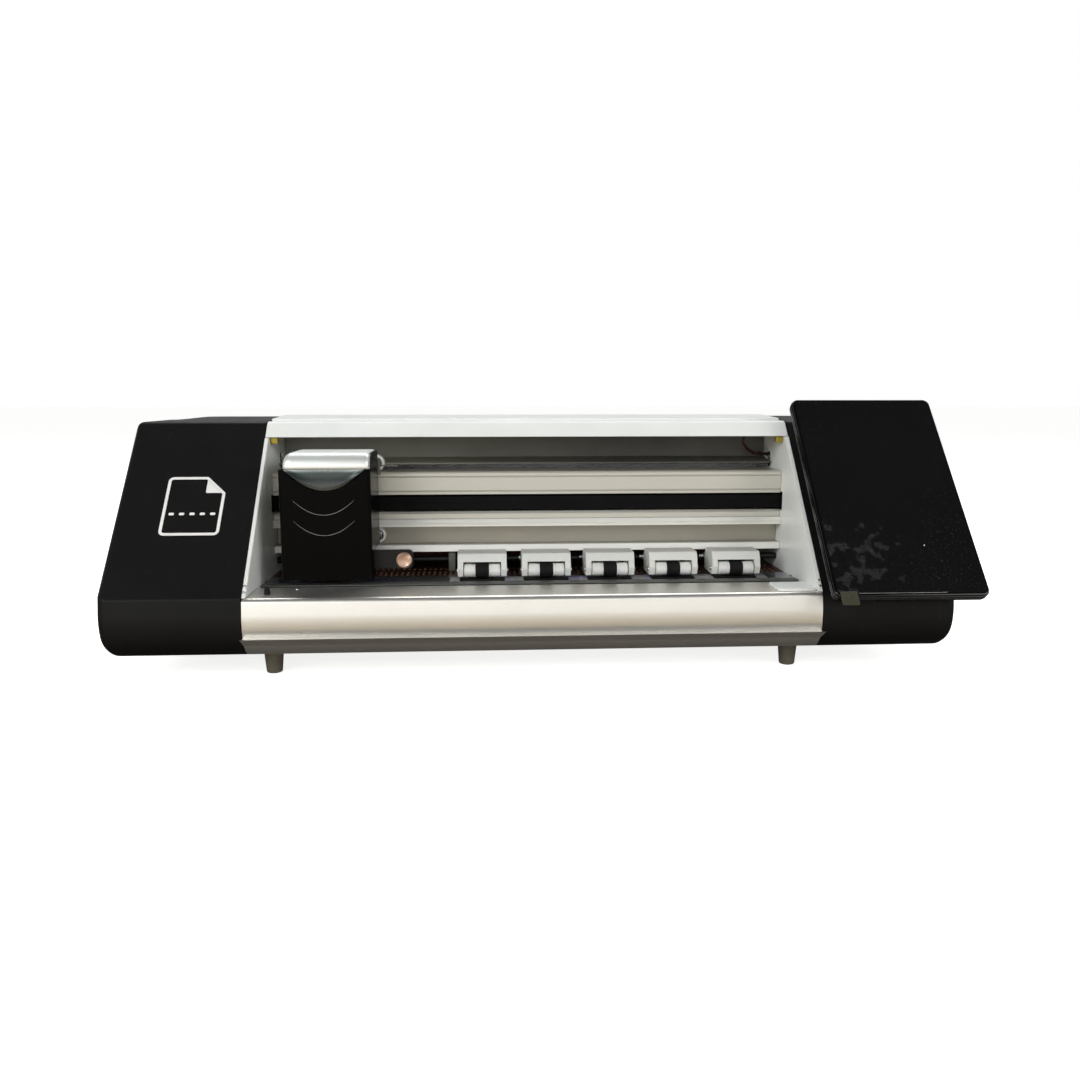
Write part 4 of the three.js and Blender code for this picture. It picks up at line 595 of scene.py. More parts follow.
LINE_GREY = Finish("line_grey", 0x7C7E7E, 0.3, 0.3, drift=0.15)
PRINT_WHITE = Finish("print_white", 0xF2F2F0, 0.5, drift=0.02, relief=0.05)
TAB_OLIVE = Finish("tab_olive", 0x4A4A3C, 0.25, drift=0.15, alpha=0.85)
# Painted reflection: a pale, mostly diffuse lilac that makes the bridges as bright as the reflections on glossy
# platen.
BRIDGE_LILAC = TintedFinish("bridge_lilac", 0xC9CCC8, 0.22, 0.25, drift=0.1, grain=1400.0, tint=0xA79CD6,
                            share=0.8, cells=40.0)
BRASS = Finish("pin_brass", 0xC8A860, 0.25, 1.0, drift=0.08)


def dress(piece: Object, body: str, slot: str, finish: Finish, *nodes: str) -> Object:
    """Finishes a piece: its material, the body it rides on and the CAD nodes it stands for."""
    mesh = piece.data
    mesh.materials.clear()
    mesh.materials.append(finish.material())
    mesh.polygons.foreach_set("material_index", [0] * len(mesh.polygons))
    flat = piece.modifiers.new("flat_faces", "WEIGHTED_NORMAL")
    flat.keep_sharp = True
    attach(piece, body)
    if nodes:
        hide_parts(*nodes)
    LOG.info("%s, in %s, rides on %s", piece.name, finish.name, body)
    return piece


def soften(node: str, name: str, body: str, slot: str, finish: Finish, edge: float, segments: int = 2,
           smooth: float = 32.0) -> Object:
    """Makes and dresses a copy of a CAD node with eased edges, which stands for the node.

    Args:
        node: the CAD node.
        name: the piece's name.
        body: the body it rides on.
        slot: not used.
        finish: its finish.
        edge: how far its edges are eased.
        segments: steps in each eased edge.
        smooth: the angle in degrees under which faces shade as one.

    Returns:
        The dressed piece.
    """
    return dress(cad_copy(node, name, edge, segments, smooth), body, slot, finish, node)


def repaint(finish: Finish, *nodes: str) -> None:
    """Gives CAD nodes whose shape is right a finish."""
    for node in nodes:
        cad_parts[node].material_slots[0].material = finish.material()
        LOG.info("%s keeps its shape, in %s", node, finish.name)


# ---------------------------------------------------------------- geometry nodes
class Recipe:
    """A Geometry Nodes tree with named inputs, which grows plain meshes."""

    def __init__(self, name: str, **kinds: str) -> None:
        """Starts a tree whose inputs are given as name=socket kind."""
        self.tree = bpy.data.node_groups.new(name, "GeometryNodeTree")
        face = self.tree.interface
        face.new_socket("Geometry", in_out="INPUT", socket_type="NodeSocketGeometry")
        self.inputs = {key: face.new_socket(key, in_out="INPUT", socket_type="NodeSocket" + kind)
                       for key, kind in {**kinds, "material": "Material"}.items()}
        face.new_socket("Geometry", in_out="OUTPUT", socket_type="NodeSocketGeometry")
        self.entry = self.tree.nodes.new("NodeGroupInput").outputs

    def add(self, kind: str, values: dict | None = None, **settings: object) -> bpy.types.Node:
        """Adds a node, with settings, and values or sockets for its inputs."""
        node = self.tree.nodes.new(kind)
        for key, value in settings.items():
            setattr(node, key, value)
        for key, value in (values or {}).items():
            if isinstance(value, bpy.types.NodeSocket):
                self.tree.links.new(value, node.inputs[key])
            else:
                node.inputs[key].default_value = value
        return node

    def close(self, geometry: Socket) -> "Recipe":
        """Ends the tree with real instances and a set material."""
        real = self.add("GeometryNodeRealizeInstances", {"Geometry": geometry})
        dressed = self.add("GeometryNodeSetMaterial", {
            "Geometry": real.outputs[0], "Material": self.entry["material"]})
        self.tree.links.new(dressed.outputs[0], self.tree.nodes.new("NodeGroupOutput").inputs[0])
        return self

    def grow(self, name: str, finish: Finish, points: list[Vector], edges: list[tuple[int, int]] = (),
             **values: object) -> Object:
        """Runs the tree on points and edges and returns the result as a plain piece."""
        mesh = bpy.data.meshes.new(name)
        mesh.from_pydata(points, edges, [])
        carrier = bpy.data.objects.new("carrier", mesh)
        bpy.context.scene.collection.objects.link(carrier)
        growth = carrier.modifiers.new("growth", "NODES")
        growth.node_group = self.tree
        for key, value in {**values, "material": finish.material()}.items():
            growth[self.inputs[key].identifier] = value
        graph = bpy.context.evaluated_depsgraph_get()
        result = bpy.data.meshes.new_from_object(carrier.evaluated_get(graph))
        bpy.data.objects.remove(carrier)
        return shown(name, result)


def fastener_recipe() -> Recipe:
    """Puts a copy of a head on each point, facing one way and turned at random about its own axis."""
    recipe = Recipe("fasteners", head="Object", facing="Vector", size="Float", seed="Int")
    entry = recipe.entry
    head = recipe.add("GeometryNodeObjectInfo", {"Object": entry["head"]})
    facing = recipe.add("FunctionNodeEulerToRotation", {0: entry["facing"]})
    scale = recipe.add("ShaderNodeCombineXYZ", {0: entry["size"], 1: entry["size"], 2: entry["size"]})
    placed = recipe.add("GeometryNodeInstanceOnPoints", {
        "Points": entry["Geometry"], "Instance": head.outputs["Geometry"], "Rotation": facing.outputs[0],
        "Scale": scale.outputs[0]})
    spin = recipe.add("FunctionNodeRandomValue", {2: 0.0, 3: 2 * math.pi, "Seed": entry["seed"]})
    about = recipe.add("ShaderNodeCombineXYZ", {2: spin.outputs[1]})
    turned = recipe.add("GeometryNodeRotateInstances", {
        "Instances": placed.outputs[0],
        "Rotation": recipe.add("FunctionNodeEulerToRotation", {0: about.outputs[0]}).outputs[0]})
    return recipe.close(turned.outputs[0])


def dot_recipe() -> Recipe:
    """Sets low round bumps in a row from each point, a pitch apart along X, with a little unevenness."""
    recipe = Recipe("dot_rows", count="Int", pitch="Vector", radius="Float", height="Float", seed="Int")
    entry = recipe.entry
    line = recipe.add("GeometryNodeMeshLine", {"Count": entry["count"], "Offset": entry["pitch"]})
    dot = recipe.add("GeometryNodeMeshUVSphere", {"Segments": 10, "Rings": 6, "Radius": 1.0})
    flat = recipe.add("ShaderNodeCombineXYZ", {0: entry["radius"], 1: entry["radius"], 2: entry["height"]})
    uneven = recipe.add("FunctionNodeRandomValue", {2: 0.85, 3: 1.1, "Seed": entry["seed"]})
    scale = recipe.add("ShaderNodeVectorMath", {0: flat.outputs[0], 3: uneven.outputs[1]}, operation="SCALE")
    row = recipe.add("GeometryNodeInstanceOnPoints", {
        "Points": line.outputs[0], "Instance": dot.outputs[0], "Scale": scale.outputs[0]})
    rows = recipe.add("GeometryNodeInstanceOnPoints",
                      {"Points": entry["Geometry"], "Instance": row.outputs[0]})
    return recipe.close(rows.outputs[0])


def chip_recipe() -> Recipe:
    """Sets small blocks in a row from each point, a pitch apart."""
    recipe = Recipe("chip_rows", count="Int", pitch="Vector", size="Vector")
    entry = recipe.entry
    line = recipe.add("GeometryNodeMeshLine", {"Count": entry["count"], "Offset": entry["pitch"]})
    chip = recipe.add("GeometryNodeMeshCube", {"Size": entry["size"]})
    row = recipe.add("GeometryNodeInstanceOnPoints", {"Points": line.outputs[0], "Instance": chip.outputs[0]})
    rows = recipe.add("GeometryNodeInstanceOnPoints",
                      {"Points": entry["Geometry"], "Instance": row.outputs[0]})
    return recipe.close(rows.outputs[0])


def belt_recipe() -> Recipe:
    """Runs a flat band along a closed path of edges, with a tooth at each pitch on its inner side."""
    recipe = Recipe("toothed_belt", width="Float", thickness="Float", pitch="Float", tooth="Vector")
    entry = recipe.entry
    path = recipe.add("GeometryNodeMeshToCurve", {"Mesh": entry["Geometry"]}).outputs[0]
    even = recipe.add("GeometryNodeResampleCurve", {"Curve": path, "Length": entry["pitch"]}, mode="LENGTH")
    upright = recipe.add("GeometryNodeSetCurveNormal", {"Curve": even.outputs[0]}, mode="Z_UP")
    section = recipe.add("GeometryNodeCurvePrimitiveQuadrilateral", {
        "Width": entry["thickness"], "Height": entry["width"]})
    band = recipe.add("GeometryNodeCurveToMesh", {
        "Curve": upright.outputs[0], "Profile Curve": section.outputs[0]})
    tooth = recipe.add("GeometryNodeMeshCube", {"Size": entry["tooth"]})
    tangent = recipe.add("GeometryNodeInputTangent")
    inward = recipe.add("ShaderNodeVectorMath", {0: tangent.outputs[0], 1: (0.0, 0.0, 1.0)},
                        operation="CROSS_PRODUCT")
    reach = recipe.add("ShaderNodeVectorMath", {0: inward.outputs[0], 3: entry["thickness"]},
                       operation="SCALE")
    back = recipe.add("ShaderNodeVectorMath", {0: reach.outputs[0], 3: -0.75}, operation="SCALE")
    points = recipe.add("GeometryNodeCurveToPoints", {"Curve": upright.outputs[0]}, mode="EVALUATED")
    moved = recipe.add("GeometryNodeSetPosition", {
        "Geometry": points.outputs[0], "Offset": back.outputs[0]})
    teeth = recipe.add("GeometryNodeInstanceOnPoints", {
        "Points": moved.outputs[0], "Instance": tooth.outputs[0], "Rotation": points.outputs["Rotation"]})
    joined = recipe.add("GeometryNodeJoinGeometry", {"Geometry": band.outputs[0]})
    recipe.tree.links.new(teeth.outputs[0], joined.inputs[0])
    return recipe.close(joined.outputs[0])


def spring_recipe() -> Recipe:
    """Winds a round wire into a coil that runs along X from each point."""
    recipe = Recipe("coil_spring", turns="Float", radius="Float", wire="Float", length="Float")
    entry = recipe.entry
    coil = recipe.add("GeometryNodeCurveSpiral", {
        "Resolution": 20, "Rotations": entry["turns"], "Start Radius": entry["radius"],
        "End Radius": entry["radius"], "Height": entry["length"]})
    section = recipe.add("GeometryNodeCurvePrimitiveCircle", {"Resolution": 8, "Radius": entry["wire"]})
    wound = recipe.add("GeometryNodeCurveToMesh", {
        "Curve": coil.outputs[0], "Profile Curve": section.outputs[0], "Fill Caps": True})
    laid = recipe.add("GeometryNodeTransform", {
        "Geometry": wound.outputs[0], "Rotation": (0.0, math.pi / 2, 0.0)})
    placed = recipe.add("GeometryNodeInstanceOnPoints", {
        "Points": entry["Geometry"], "Instance": laid.outputs[0]})
    return recipe.close(placed.outputs[0])


def knurl_recipe() -> Recipe:
    """Stands fine ridges side by side round the Y axis, round each point."""
    recipe = Recipe("knurl", count="Int", radius="Float", ridge="Vector")
    entry = recipe.entry
    circle = recipe.add("GeometryNodeMeshCircle", {"Vertices": entry["count"], "Radius": entry["radius"]})
    place = recipe.add("GeometryNodeInputPosition")
    outward = recipe.add("FunctionNodeAlignRotationToVector", {"Vector": place.outputs[0]}, axis="X")
    ridge = recipe.add("GeometryNodeMeshCube", {"Size": entry["ridge"]})
    crown = recipe.add("GeometryNodeInstanceOnPoints", {
        "Points": circle.outputs[0], "Instance": ridge.outputs[0], "Rotation": outward.outputs[0]})
    laid = recipe.add("GeometryNodeTransform", {
        "Geometry": crown.outputs[0], "Rotation": (math.pi / 2, 0.0, 0.0)})
    placed = recipe.add("GeometryNodeInstanceOnPoints", {
        "Points": entry["Geometry"], "Instance": laid.outputs[0]})
    return recipe.close(placed.outputs[0])


# ---------------------------------------------------------------- the machine's section
@dataclass(frozen=True)
class Section:
    """The machine's side section: a slanted face between a nose and a flat top."""

    flange: float = 0.038
    beam_depth: float = 0.016
    rise: float = 0.003
    bulge: float = 0.003
    curl: float = 0.012

    @property
    def crease(self) -> Vector:
        """Where the slanted face meets the nose, at x = 0."""
        front = Span.of("front_extrusion").high
        return Vector((0.0, front.y - self.flange, front.z))

    @property
    def brow(self) -> Vector:
        """Where the slanted face meets the flat top, at x = 0."""
        beam = Span.of("top_beam").high
        return Vector((0.0, beam.y - self.beam_depth, beam.z))

    @property
    def up_slope(self) -> Vector:
        """The way up the slanted face."""
        return (self.brow - self.crease).normalized()

    def on_slope(self, x: float, along: float, proud: float = 0.0) -> Vector:
        """A point on the slanted face: a distance up it from the crease, and a distance off it."""
        out = Vector((1.0, 0.0, 0.0)).cross(self.up_slope)
        return self.crease + Vector((x, 0.0, 0.0)) + self.up_slope * along + out * proud

    def corners(self, rise: float) -> list[Corner]:
        """Corners (y, z, radius) of the section, from the rear top round the front to the rear bottom."""
        crease, brow, cap = self.crease, self.brow, Span.of("left_end_cap")
        rear, floor = cap.high.y, cap.low.z
        return [
            (rear, brow.z + rise, 0.008), (brow.y, brow.z, 0.006), (crease.y, crease.z, 0.004),
            (crease.y - self.bulge, (crease.z + floor) / 2 + 0.002, 0.044),
            (crease.y + self.curl / 12, floor + 0.007, 0.020), (crease.y + self.curl, floor, 0.013),
            (rear, floor, 0.006),
        ]


SECTION = Section()


# ---------------------------------------------------------------- sub-assemblies
@dataclass
class EndCaps:
    """The two black end caps, each a hollow shell with a softly rounded outer end."""

    wall: float = 0.0025
    fade: float = 0.034
    rounds: tuple[float, ...] = (0.006, 0.0055, 0.008, 0.009, 0.011, 0.011, 0.006)
    icon: float = 0.052
    print_line: float = 0.0022

    def outline(self, out: float, length: float, wall: float) -> list[Pair]:
        """The section at a distance from the open side of a cap, for its outer or its inner wall."""
        left = length - wall - out
        share = min(max((left - 0.008) / self.fade, 0.0), 1.0)
        corners = SECTION.corners(SECTION.rise * share * share * (3 - 2 * share))
        moves = []
        for radius in self.rounds:
            reach = max(radius - wall, 0.0008)
            into = max(reach - left, 0.0)
            moves.append(wall + reach - math.sqrt(max(reach * reach - into * into, 0.0)))
        return rounded(inset(corners, moves), 7)

    def shell(self, node: str, name: str) -> Object:
        """One cap, from its inner wall's closed end out to its outer end."""
        span = Span.of(node)
        inner, outer = (span.high.x, span.low.x) if span.middle.x < 0 else (span.low.x, span.high.x)
        way = math.copysign(1.0, outer - inner)
        length = abs(outer - inner)
        places = [0.0, 0.5, 0.62, 0.7, 0.78, 0.84]
        bend = [length - 0.011 * (1 - math.sin(turn * math.pi / 20)) for turn in range(11)]
        stations = [length * place for place in places] + bend
        loops = [[(out, self.wall) for out in reversed([0.0, length * 0.5, length * 0.8, length - 0.008,
                                                        length - self.wall - 0.0006, length - self.wall])],
                 [(out, 0.0) for out in stations]]
        skins = []
        for out, wall in loops[0] + loops[1]:
            outline = self.outline(min(out, length - wall - 1e-5), length, wall)
            skins.append([Axis.X.point(y, z, inner + way * out) for y, z in outline])
        return loft(name, skins)

    def sheet_icon(self) -> Object:
        """A generic print: a sheet with a folded corner and a cut line across it."""
        cap, up = Span.of("left_end_cap"), SECTION.up_slope
        centre_x, centre_up, cut = cap.middle.x + 0.006, 0.079, self.icon * 0.28
        half_w, half_h, line = self.icon * 0.42, self.icon * 0.5, self.print_line

        def placed(points: list[Pair], proud: float) -> list[Vector]:
            """Lays flat points on the slanted face."""
            return [SECTION.on_slope(centre_x + a, centre_up + b, proud) for a, b in points]

        corners = [(-half_w, -half_h, 0.004), (half_w, -half_h, 0.004), (half_w, half_h - cut, 0.0015),
                   (half_w - cut, half_h, 0.0015), (-half_w, half_h, 0.004)]
        outer, inner = rounded(corners), rounded(inset(corners, line))
        low, high = -0.0002, 0.00014
        frame_line = loft("icon_edge", [placed(outer, low), placed(outer, high), placed(inner, high),
                                        placed(inner, low)], cycle=True)
        fold = rounded([(half_w - cut, half_h - cut, 0.001), (half_w - line, half_h - cut, 0.0004),
                        (half_w - cut, half_h - line, 0.0004)])
        marks = [loft("icon_fold", [placed(fold, low), placed(fold, high)])]
        for step in range(5):
            middle = (step - 2) * self.icon * 0.145
            dash = [(middle + a, -half_h * 0.28 + b) for a, b in rounded(rectangle(0.0038, line, 0.0008), 3)]
            marks.append(loft("icon_dash", [placed(dash, low), placed(dash, high)]))
        LOG.info("the icon stands %.0f mm up a slope of %.2f", centre_up * 1000, up.z)
        return fused("sheet_icon", frame_line, *marks)

    def make(self) -> None:
        """Makes both caps and the icon."""
        left = self.shell("left_end_cap", "left_cap_shell")
        right = self.shell("right_end_cap", "right_cap_shell")
        inlet, data = Span.of("power_inlet"), Span.of("data_socket")
        rim, gap, back = 0.0022, 0.0003, Vector((0.0, 0.004, 0.0))
        wall = Span.of("right_end_cap").high.y - self.wall - 0.002
        holes = [(inlet, rim), (data, -gap)]
        cutters = [block("cap_hole", Vector((hole.low.x + edge, wall, hole.low.z + edge)),
                         Vector((hole.high.x - edge, hole.high.y, hole.high.z - edge)) + back)
                   for hole, edge in holes]
        carved(right, *cutters)
        dress(left, "chassis", "cap_black", CAP_BLACK, "left_end_cap")
        dress(right, "chassis", "cap_black", CAP_BLACK, "right_end_cap")
        dress(self.sheet_icon(), "chassis", "white_print", PRINT_WHITE)


@dataclass
class Body:
    """The frame between the caps: the front extrusion, plates, beam, covers and feet."""

    wall: float = 0.0022
    reflection_plate: Corner = (0.029, 0.026, 0.0019)

    def front_extrusion(self) -> Object:
        """The silver nose: an open C section with smooth corners."""
        span = Span.of("front_extrusion")
        flange = span.high.y
        corners = [(flange, span.high.z, 0.0), *SECTION.corners(0.0)[2:6], (flange, span.low.z, 0.0)]
        outer = rounded(corners, 10)
        inner = rounded(inset(corners, self.wall)[1:-1], 10)
        edge_in = [(flange, span.low.z + self.wall), *reversed(inner), (flange, span.high.z - self.wall)]
        return eased(prism("silver_nose", Axis.X, outer + edge_in, span.low.x, span.high.x), 0.0003, 2)

    def sheet_parts(self) -> None:
        """The painted plates, beam and covers, with eased edges."""
        painted = [("left_side_plate", 0.0007), ("right_side_plate", 0.0007), ("top_beam", 0.0009),
                   ("top_cover", 0.0007)]
        for node, edge in painted:
            soften(node, "painted_" + node, "chassis", "white_paint", WHITE_PAINT, edge, 3)
        # Painted shade: the rear baffle is painted lighter at its left end and darkest right of the middle, where
        # the inside of the machine lies in shade.
        shaded = GradedFinish("baffle_painted_shade", 0x6F6E65, 0.5, 0.1, drift=0.06, grain=1100.0, dust=0.04, way=Axis.X,
                              stops=((-0.16, 0x8A897E), (-0.05, 0x66655C), (0.08, 0x484743), (0.19, 0x55544E)))
        for node, finish in (("rear_baffle", shaded), ("base_plate", GREY_SHEET)):
            soften(node, "folded_" + node, "chassis", "grey_plate", finish, 0.0004)
        for side in ("left", "right"):
            block_piece = cad_copy(f"{side}_corner_block", f"{side}_tie_block", 0.0006, 3)
            dress(block_piece, "chassis", "zinc_yellow", ZINC, f"{side}_corner_block")

    def bed_end(self) -> None:
        """The small white plate that lies on the bed's front strip by the right side plate, a painted reflection
        of that side plate, and its stop.
        """
        plate, front = Span.of("right_side_plate"), Span.of("front_extrusion")
        width, depth, thick = self.reflection_plate
        low = Vector((plate.low.x - width, front.low.y + 0.0065, front.high.z + 0.0001))
        high = Vector((plate.low.x - 0.0001, low.y + depth, front.high.z + thick))
        # Painted reflection: this white plate stands where the right side plate shows mirrored in the glossy bed
        # strip.
        piece = eased(block("bed_end_plate", low, high, 0.003), 0.0005)
        dress(piece, "chassis", "white_paint", WHITE_PAINT)
        left = Span.of("left_side_plate").high.x
        stop = [(0.0, 0.0001), (0.0022, 0.0001), (0.002, 0.0035), (0.0013, 0.005), (0.0, 0.0054)]
        at = Vector((left + 0.012, front.high.y - 0.023, front.high.z))
        dress(lathe("bed_stop", Axis.Z, at, stop, 24), "chassis", "foot_rubber", RUBBER)

    def feet(self) -> None:
        """The four tapered feet, hollowed below like a turned bumper."""
        for node in ("front_left_foot", "front_right_foot", "rear_left_foot", "rear_right_foot"):
            span = Span.of(node)
            wide, tip, height = span.size.x / 2, 0.0059, span.high.z
            profile = [(0.0, 0.0012), (0.0022, 0.0012), (0.0026, 0.0002), (tip - 0.0012, 0.0),
                       (tip - 0.0003, 0.0004), (tip, 0.0014), (wide - 0.0002, height - 0.0015),
                       (wide - 0.0004, height - 0.0003), (wide - 0.001, height), (0.0, height)]
            piece = lathe(node + "_bumper", Axis.Z, Vector((span.middle.x, span.middle.y, 0.0)), profile)
            dress(piece, "chassis", "foot_rubber", FOOT_RUBBER, node)

    def lamp(self) -> None:
        """The lamp strip under the beam, its chips, and the twisted red and black lead."""
        strip, plate = Span.of("led_strip"), Span.of("right_side_plate")
        soften("led_strip", "lamp_strip", "chassis", "lamp_white", LAMP_WHITE, 0.0003)
        chips = chip_recipe().grow(
            "lamp_chips", LAMP_WHITE, [Vector((strip.low.x + 0.008, strip.middle.y, strip.low.z - 0.0001))],
            count=30, pitch=(0.013, 0.0, 0.0), size=(0.0035, 0.0028, 0.0006))
        dress(chips, "chassis", "lamp_white", LAMP_WHITE)
        wire = Span.of("lamp_wire")
        far = plate.low.x
        route = [Vector((far - 0.030, strip.middle.y, wire.high.z - 0.0011)),
                 Vector((far - 0.027, strip.middle.y + 0.014, wire.high.z - 0.0057)),
                 Vector((far - 0.018, wire.high.y - 0.006, wire.high.z - 0.0127)),
                 Vector((far - 0.008, wire.high.y - 0.0011, wire.low.z + 0.0016)),
                 Vector((far + 0.011, wire.high.y - 0.0011, wire.low.z + 0.0011))]
        path = flowing(route, 14)
        for name, finish, phase, stands in (("lamp_lead_red", WIRE_RED, 0.0, ["lamp_wire"]),
                                            ("lamp_lead_black", WIRE_BLACK, math.pi, [])):
            twisted = [p + Vector((0.0, math.cos(phase + 0.55 * i), math.sin(phase + 0.55 * i))) * 0.00085
                       for i, p in enumerate(path)]
            dress(sweep(name, twisted, 0.0008), "chassis", "wire_red", finish, *stands)

    def make(self) -> None:
        """Makes every piece of the frame."""
        dress(self.front_extrusion(), "chassis", "silver_extrusion", SILVER, "front_extrusion")
        self.sheet_parts()
        self.bed_end()
        self.feet()
        self.lamp()


@dataclass
class Gantry:
    """The rail, the toothed belt and its pulleys and motor."""

    groove: float = 0.0007
    belt_pitch: float = 0.002032

    def rail(self) -> Object:
        """The rail extrusion, with fine grooves along its front and a wheel track."""
        span = Span.of("gantry_rail")
        face, rear, top, low = span.low.y + 0.004, span.high.y, span.high.z, span.low.z
        belt = Span.of("carriage_belt")
        slot_high, slot_low, slot_rear = belt.high.z + 0.0016, belt.low.z - 0.0016, belt.high.y + 0.002
        ledge, track, g = top - 0.044, span.low.y + 0.013, self.groove
        outline = [(rear, top), (face + 0.0012, top), (face, top - 0.0012)]
        for z in (top - 0.0036, slot_high + 0.0032):
            outline += [(face, z), (face + g, z - g / 3), (face + g, z - g), (face, z - 1.33 * g)]
        outline += [(face, slot_high), (slot_rear, slot_high), (slot_rear, slot_low), (face + 0.0014, slot_low),
                    (face, slot_low - 0.002), (face, ledge + 0.006), (span.low.y + 0.0012, ledge + 0.006),
                    (span.low.y, ledge + 0.0027), (span.low.y + g, ledge + 0.0024),
                    (span.low.y + g, ledge + 0.0018), (span.low.y, ledge + 0.0015),
                    (span.low.y, ledge), (track, ledge), (track, low + 0.0055),
                    (span.low.y + 0.0024, low + 0.0055), (span.low.y + 0.001, low), (rear - 0.003, low), (rear, low + 0.003)]
        return eased(prism("rail_extrusion", Axis.X, outline, span.low.x, span.high.x), 0.00022, 2)

    def belt(self) -> Object:
        """The toothed belt, a closed loop round both pulleys."""
        span, left, right = Span.of("carriage_belt"), Span.of("motor_pulley"), Span.of("idler_pulley")
        thick = 0.0014
        radius, middle = span.size.y / 2 - thick / 2, span.middle
        points = []
        for centre, start in ((right.middle.x, -math.pi / 2), (left.middle.x, math.pi / 2)):
            for step in range(19):
                turn = start + math.pi * step / 18
                points.append(Vector((centre + radius * math.cos(turn), middle.y + radius * math.sin(turn),
                                      middle.z)))
        edges = [(i, (i + 1) % len(points)) for i in range(len(points))]
        return belt_recipe().grow("toothed_belt", BELT_RUBBER, points, edges, width=span.size.z,
                                  thickness=thick * 0.72, pitch=self.belt_pitch,
                                  tooth=(0.0006, span.size.z, 0.0010))

    def pulley(self, node: str, body: str) -> None:
        """A flanged pulley with teeth between its flanges."""
        span = Span.of(node)
        outer, half, root = span.size.x / 2, span.size.z / 2, 0.0072
        bore = 0.0028
        profile = [(bore, -half), (outer - 0.0003, -half), (outer, -half + 0.0003), (outer, -half + 0.001),
                   (root, -half + 0.001), (root, half - 0.001), (outer, half - 0.001), (outer, half - 0.0003),
                   (outer - 0.0003, half), (bore, half), (bore, -half)]
        piece = lathe(node + "_wheel", Axis.Z, span.middle, profile, 64)
        dress(piece, body, "bright_steel", STEEL, node)

    def mounts(self) -> None:
        """The slotted rail mounts on the side plates: a dark slot with a bright screw."""
        rail = Span.of("gantry_rail")
        y, low = rail.high.y + 0.0045, rail.high.z + 0.0005
        for side, plate in (("left", Span.of("left_side_plate").high.x),
                            ("right", Span.of("right_side_plate").low.x)):
            way = 1.0 if side == "left" else -1.0
            slot = rounded([(y - 0.0017, low, 0.0016), (y + 0.0017, low, 0.0016),
                            (y + 0.0017, low + 0.013, 0.0016),
                            (y - 0.0017, low + 0.013, 0.0016)])
            piece = prism(f"{side}_mount_slot", Axis.X, slot, plate + way * 0.00002, plate + way * 0.0004)
            dress(piece, "chassis", "moulded_black", MOULDED)
            head = [(0.0, way * 0.0003), (0.0015, way * 0.0003), (0.0015, way * 0.0011), (0.001, way * 0.0016),
                    (0.0, way * 0.0018)]
            screw = lathe(f"{side}_mount_screw", Axis.X, Vector((plate, y, low + 0.0085)), head, 24)
            dress(screw, "chassis", "bright_steel", STEEL)

    def make(self) -> None:
        """Makes the rail, the belt drive and the mounts."""
        front = Span.of("gantry_rail").low.y
        # Painted highlight and painted shade: the rail is painted brightest on its foremost faces and darker the
        # further back a face lies, darkest in the wheel track.
        silver = GradedFinish("rail_silver", 0xC9C8BF, 0.36, 0.45, drift=0.04, grain=1500.0, relief=0.12,
                              stretch=(0.010, 1.0, 1.0), spread=0.04, way=Axis.Y, stops=(
                                  (front + 0.0020, 0xF0F0EA), (front + 0.0034, 0xCFCEC5),
                                  (front + 0.0046, 0xC4C3BA), (front + 0.0125, 0xA09C90)))
        dress(self.rail(), "chassis", "rail_aluminium", silver, "gantry_rail")
        dress(self.belt(), "chassis", "rubber_black", BELT_RUBBER, "carriage_belt")
        self.pulley("motor_pulley", "motor_pulley_turn")
        self.pulley("idler_pulley", "idler_pulley_turn")
        soften("carriage_motor", "belt_motor", "chassis", "motor_black", MOTOR_STEEL, 0.0005)
        soften("idler_bracket", "idler_mount", "chassis", "bright_steel", STEEL, 0.0003)
        self.mounts()


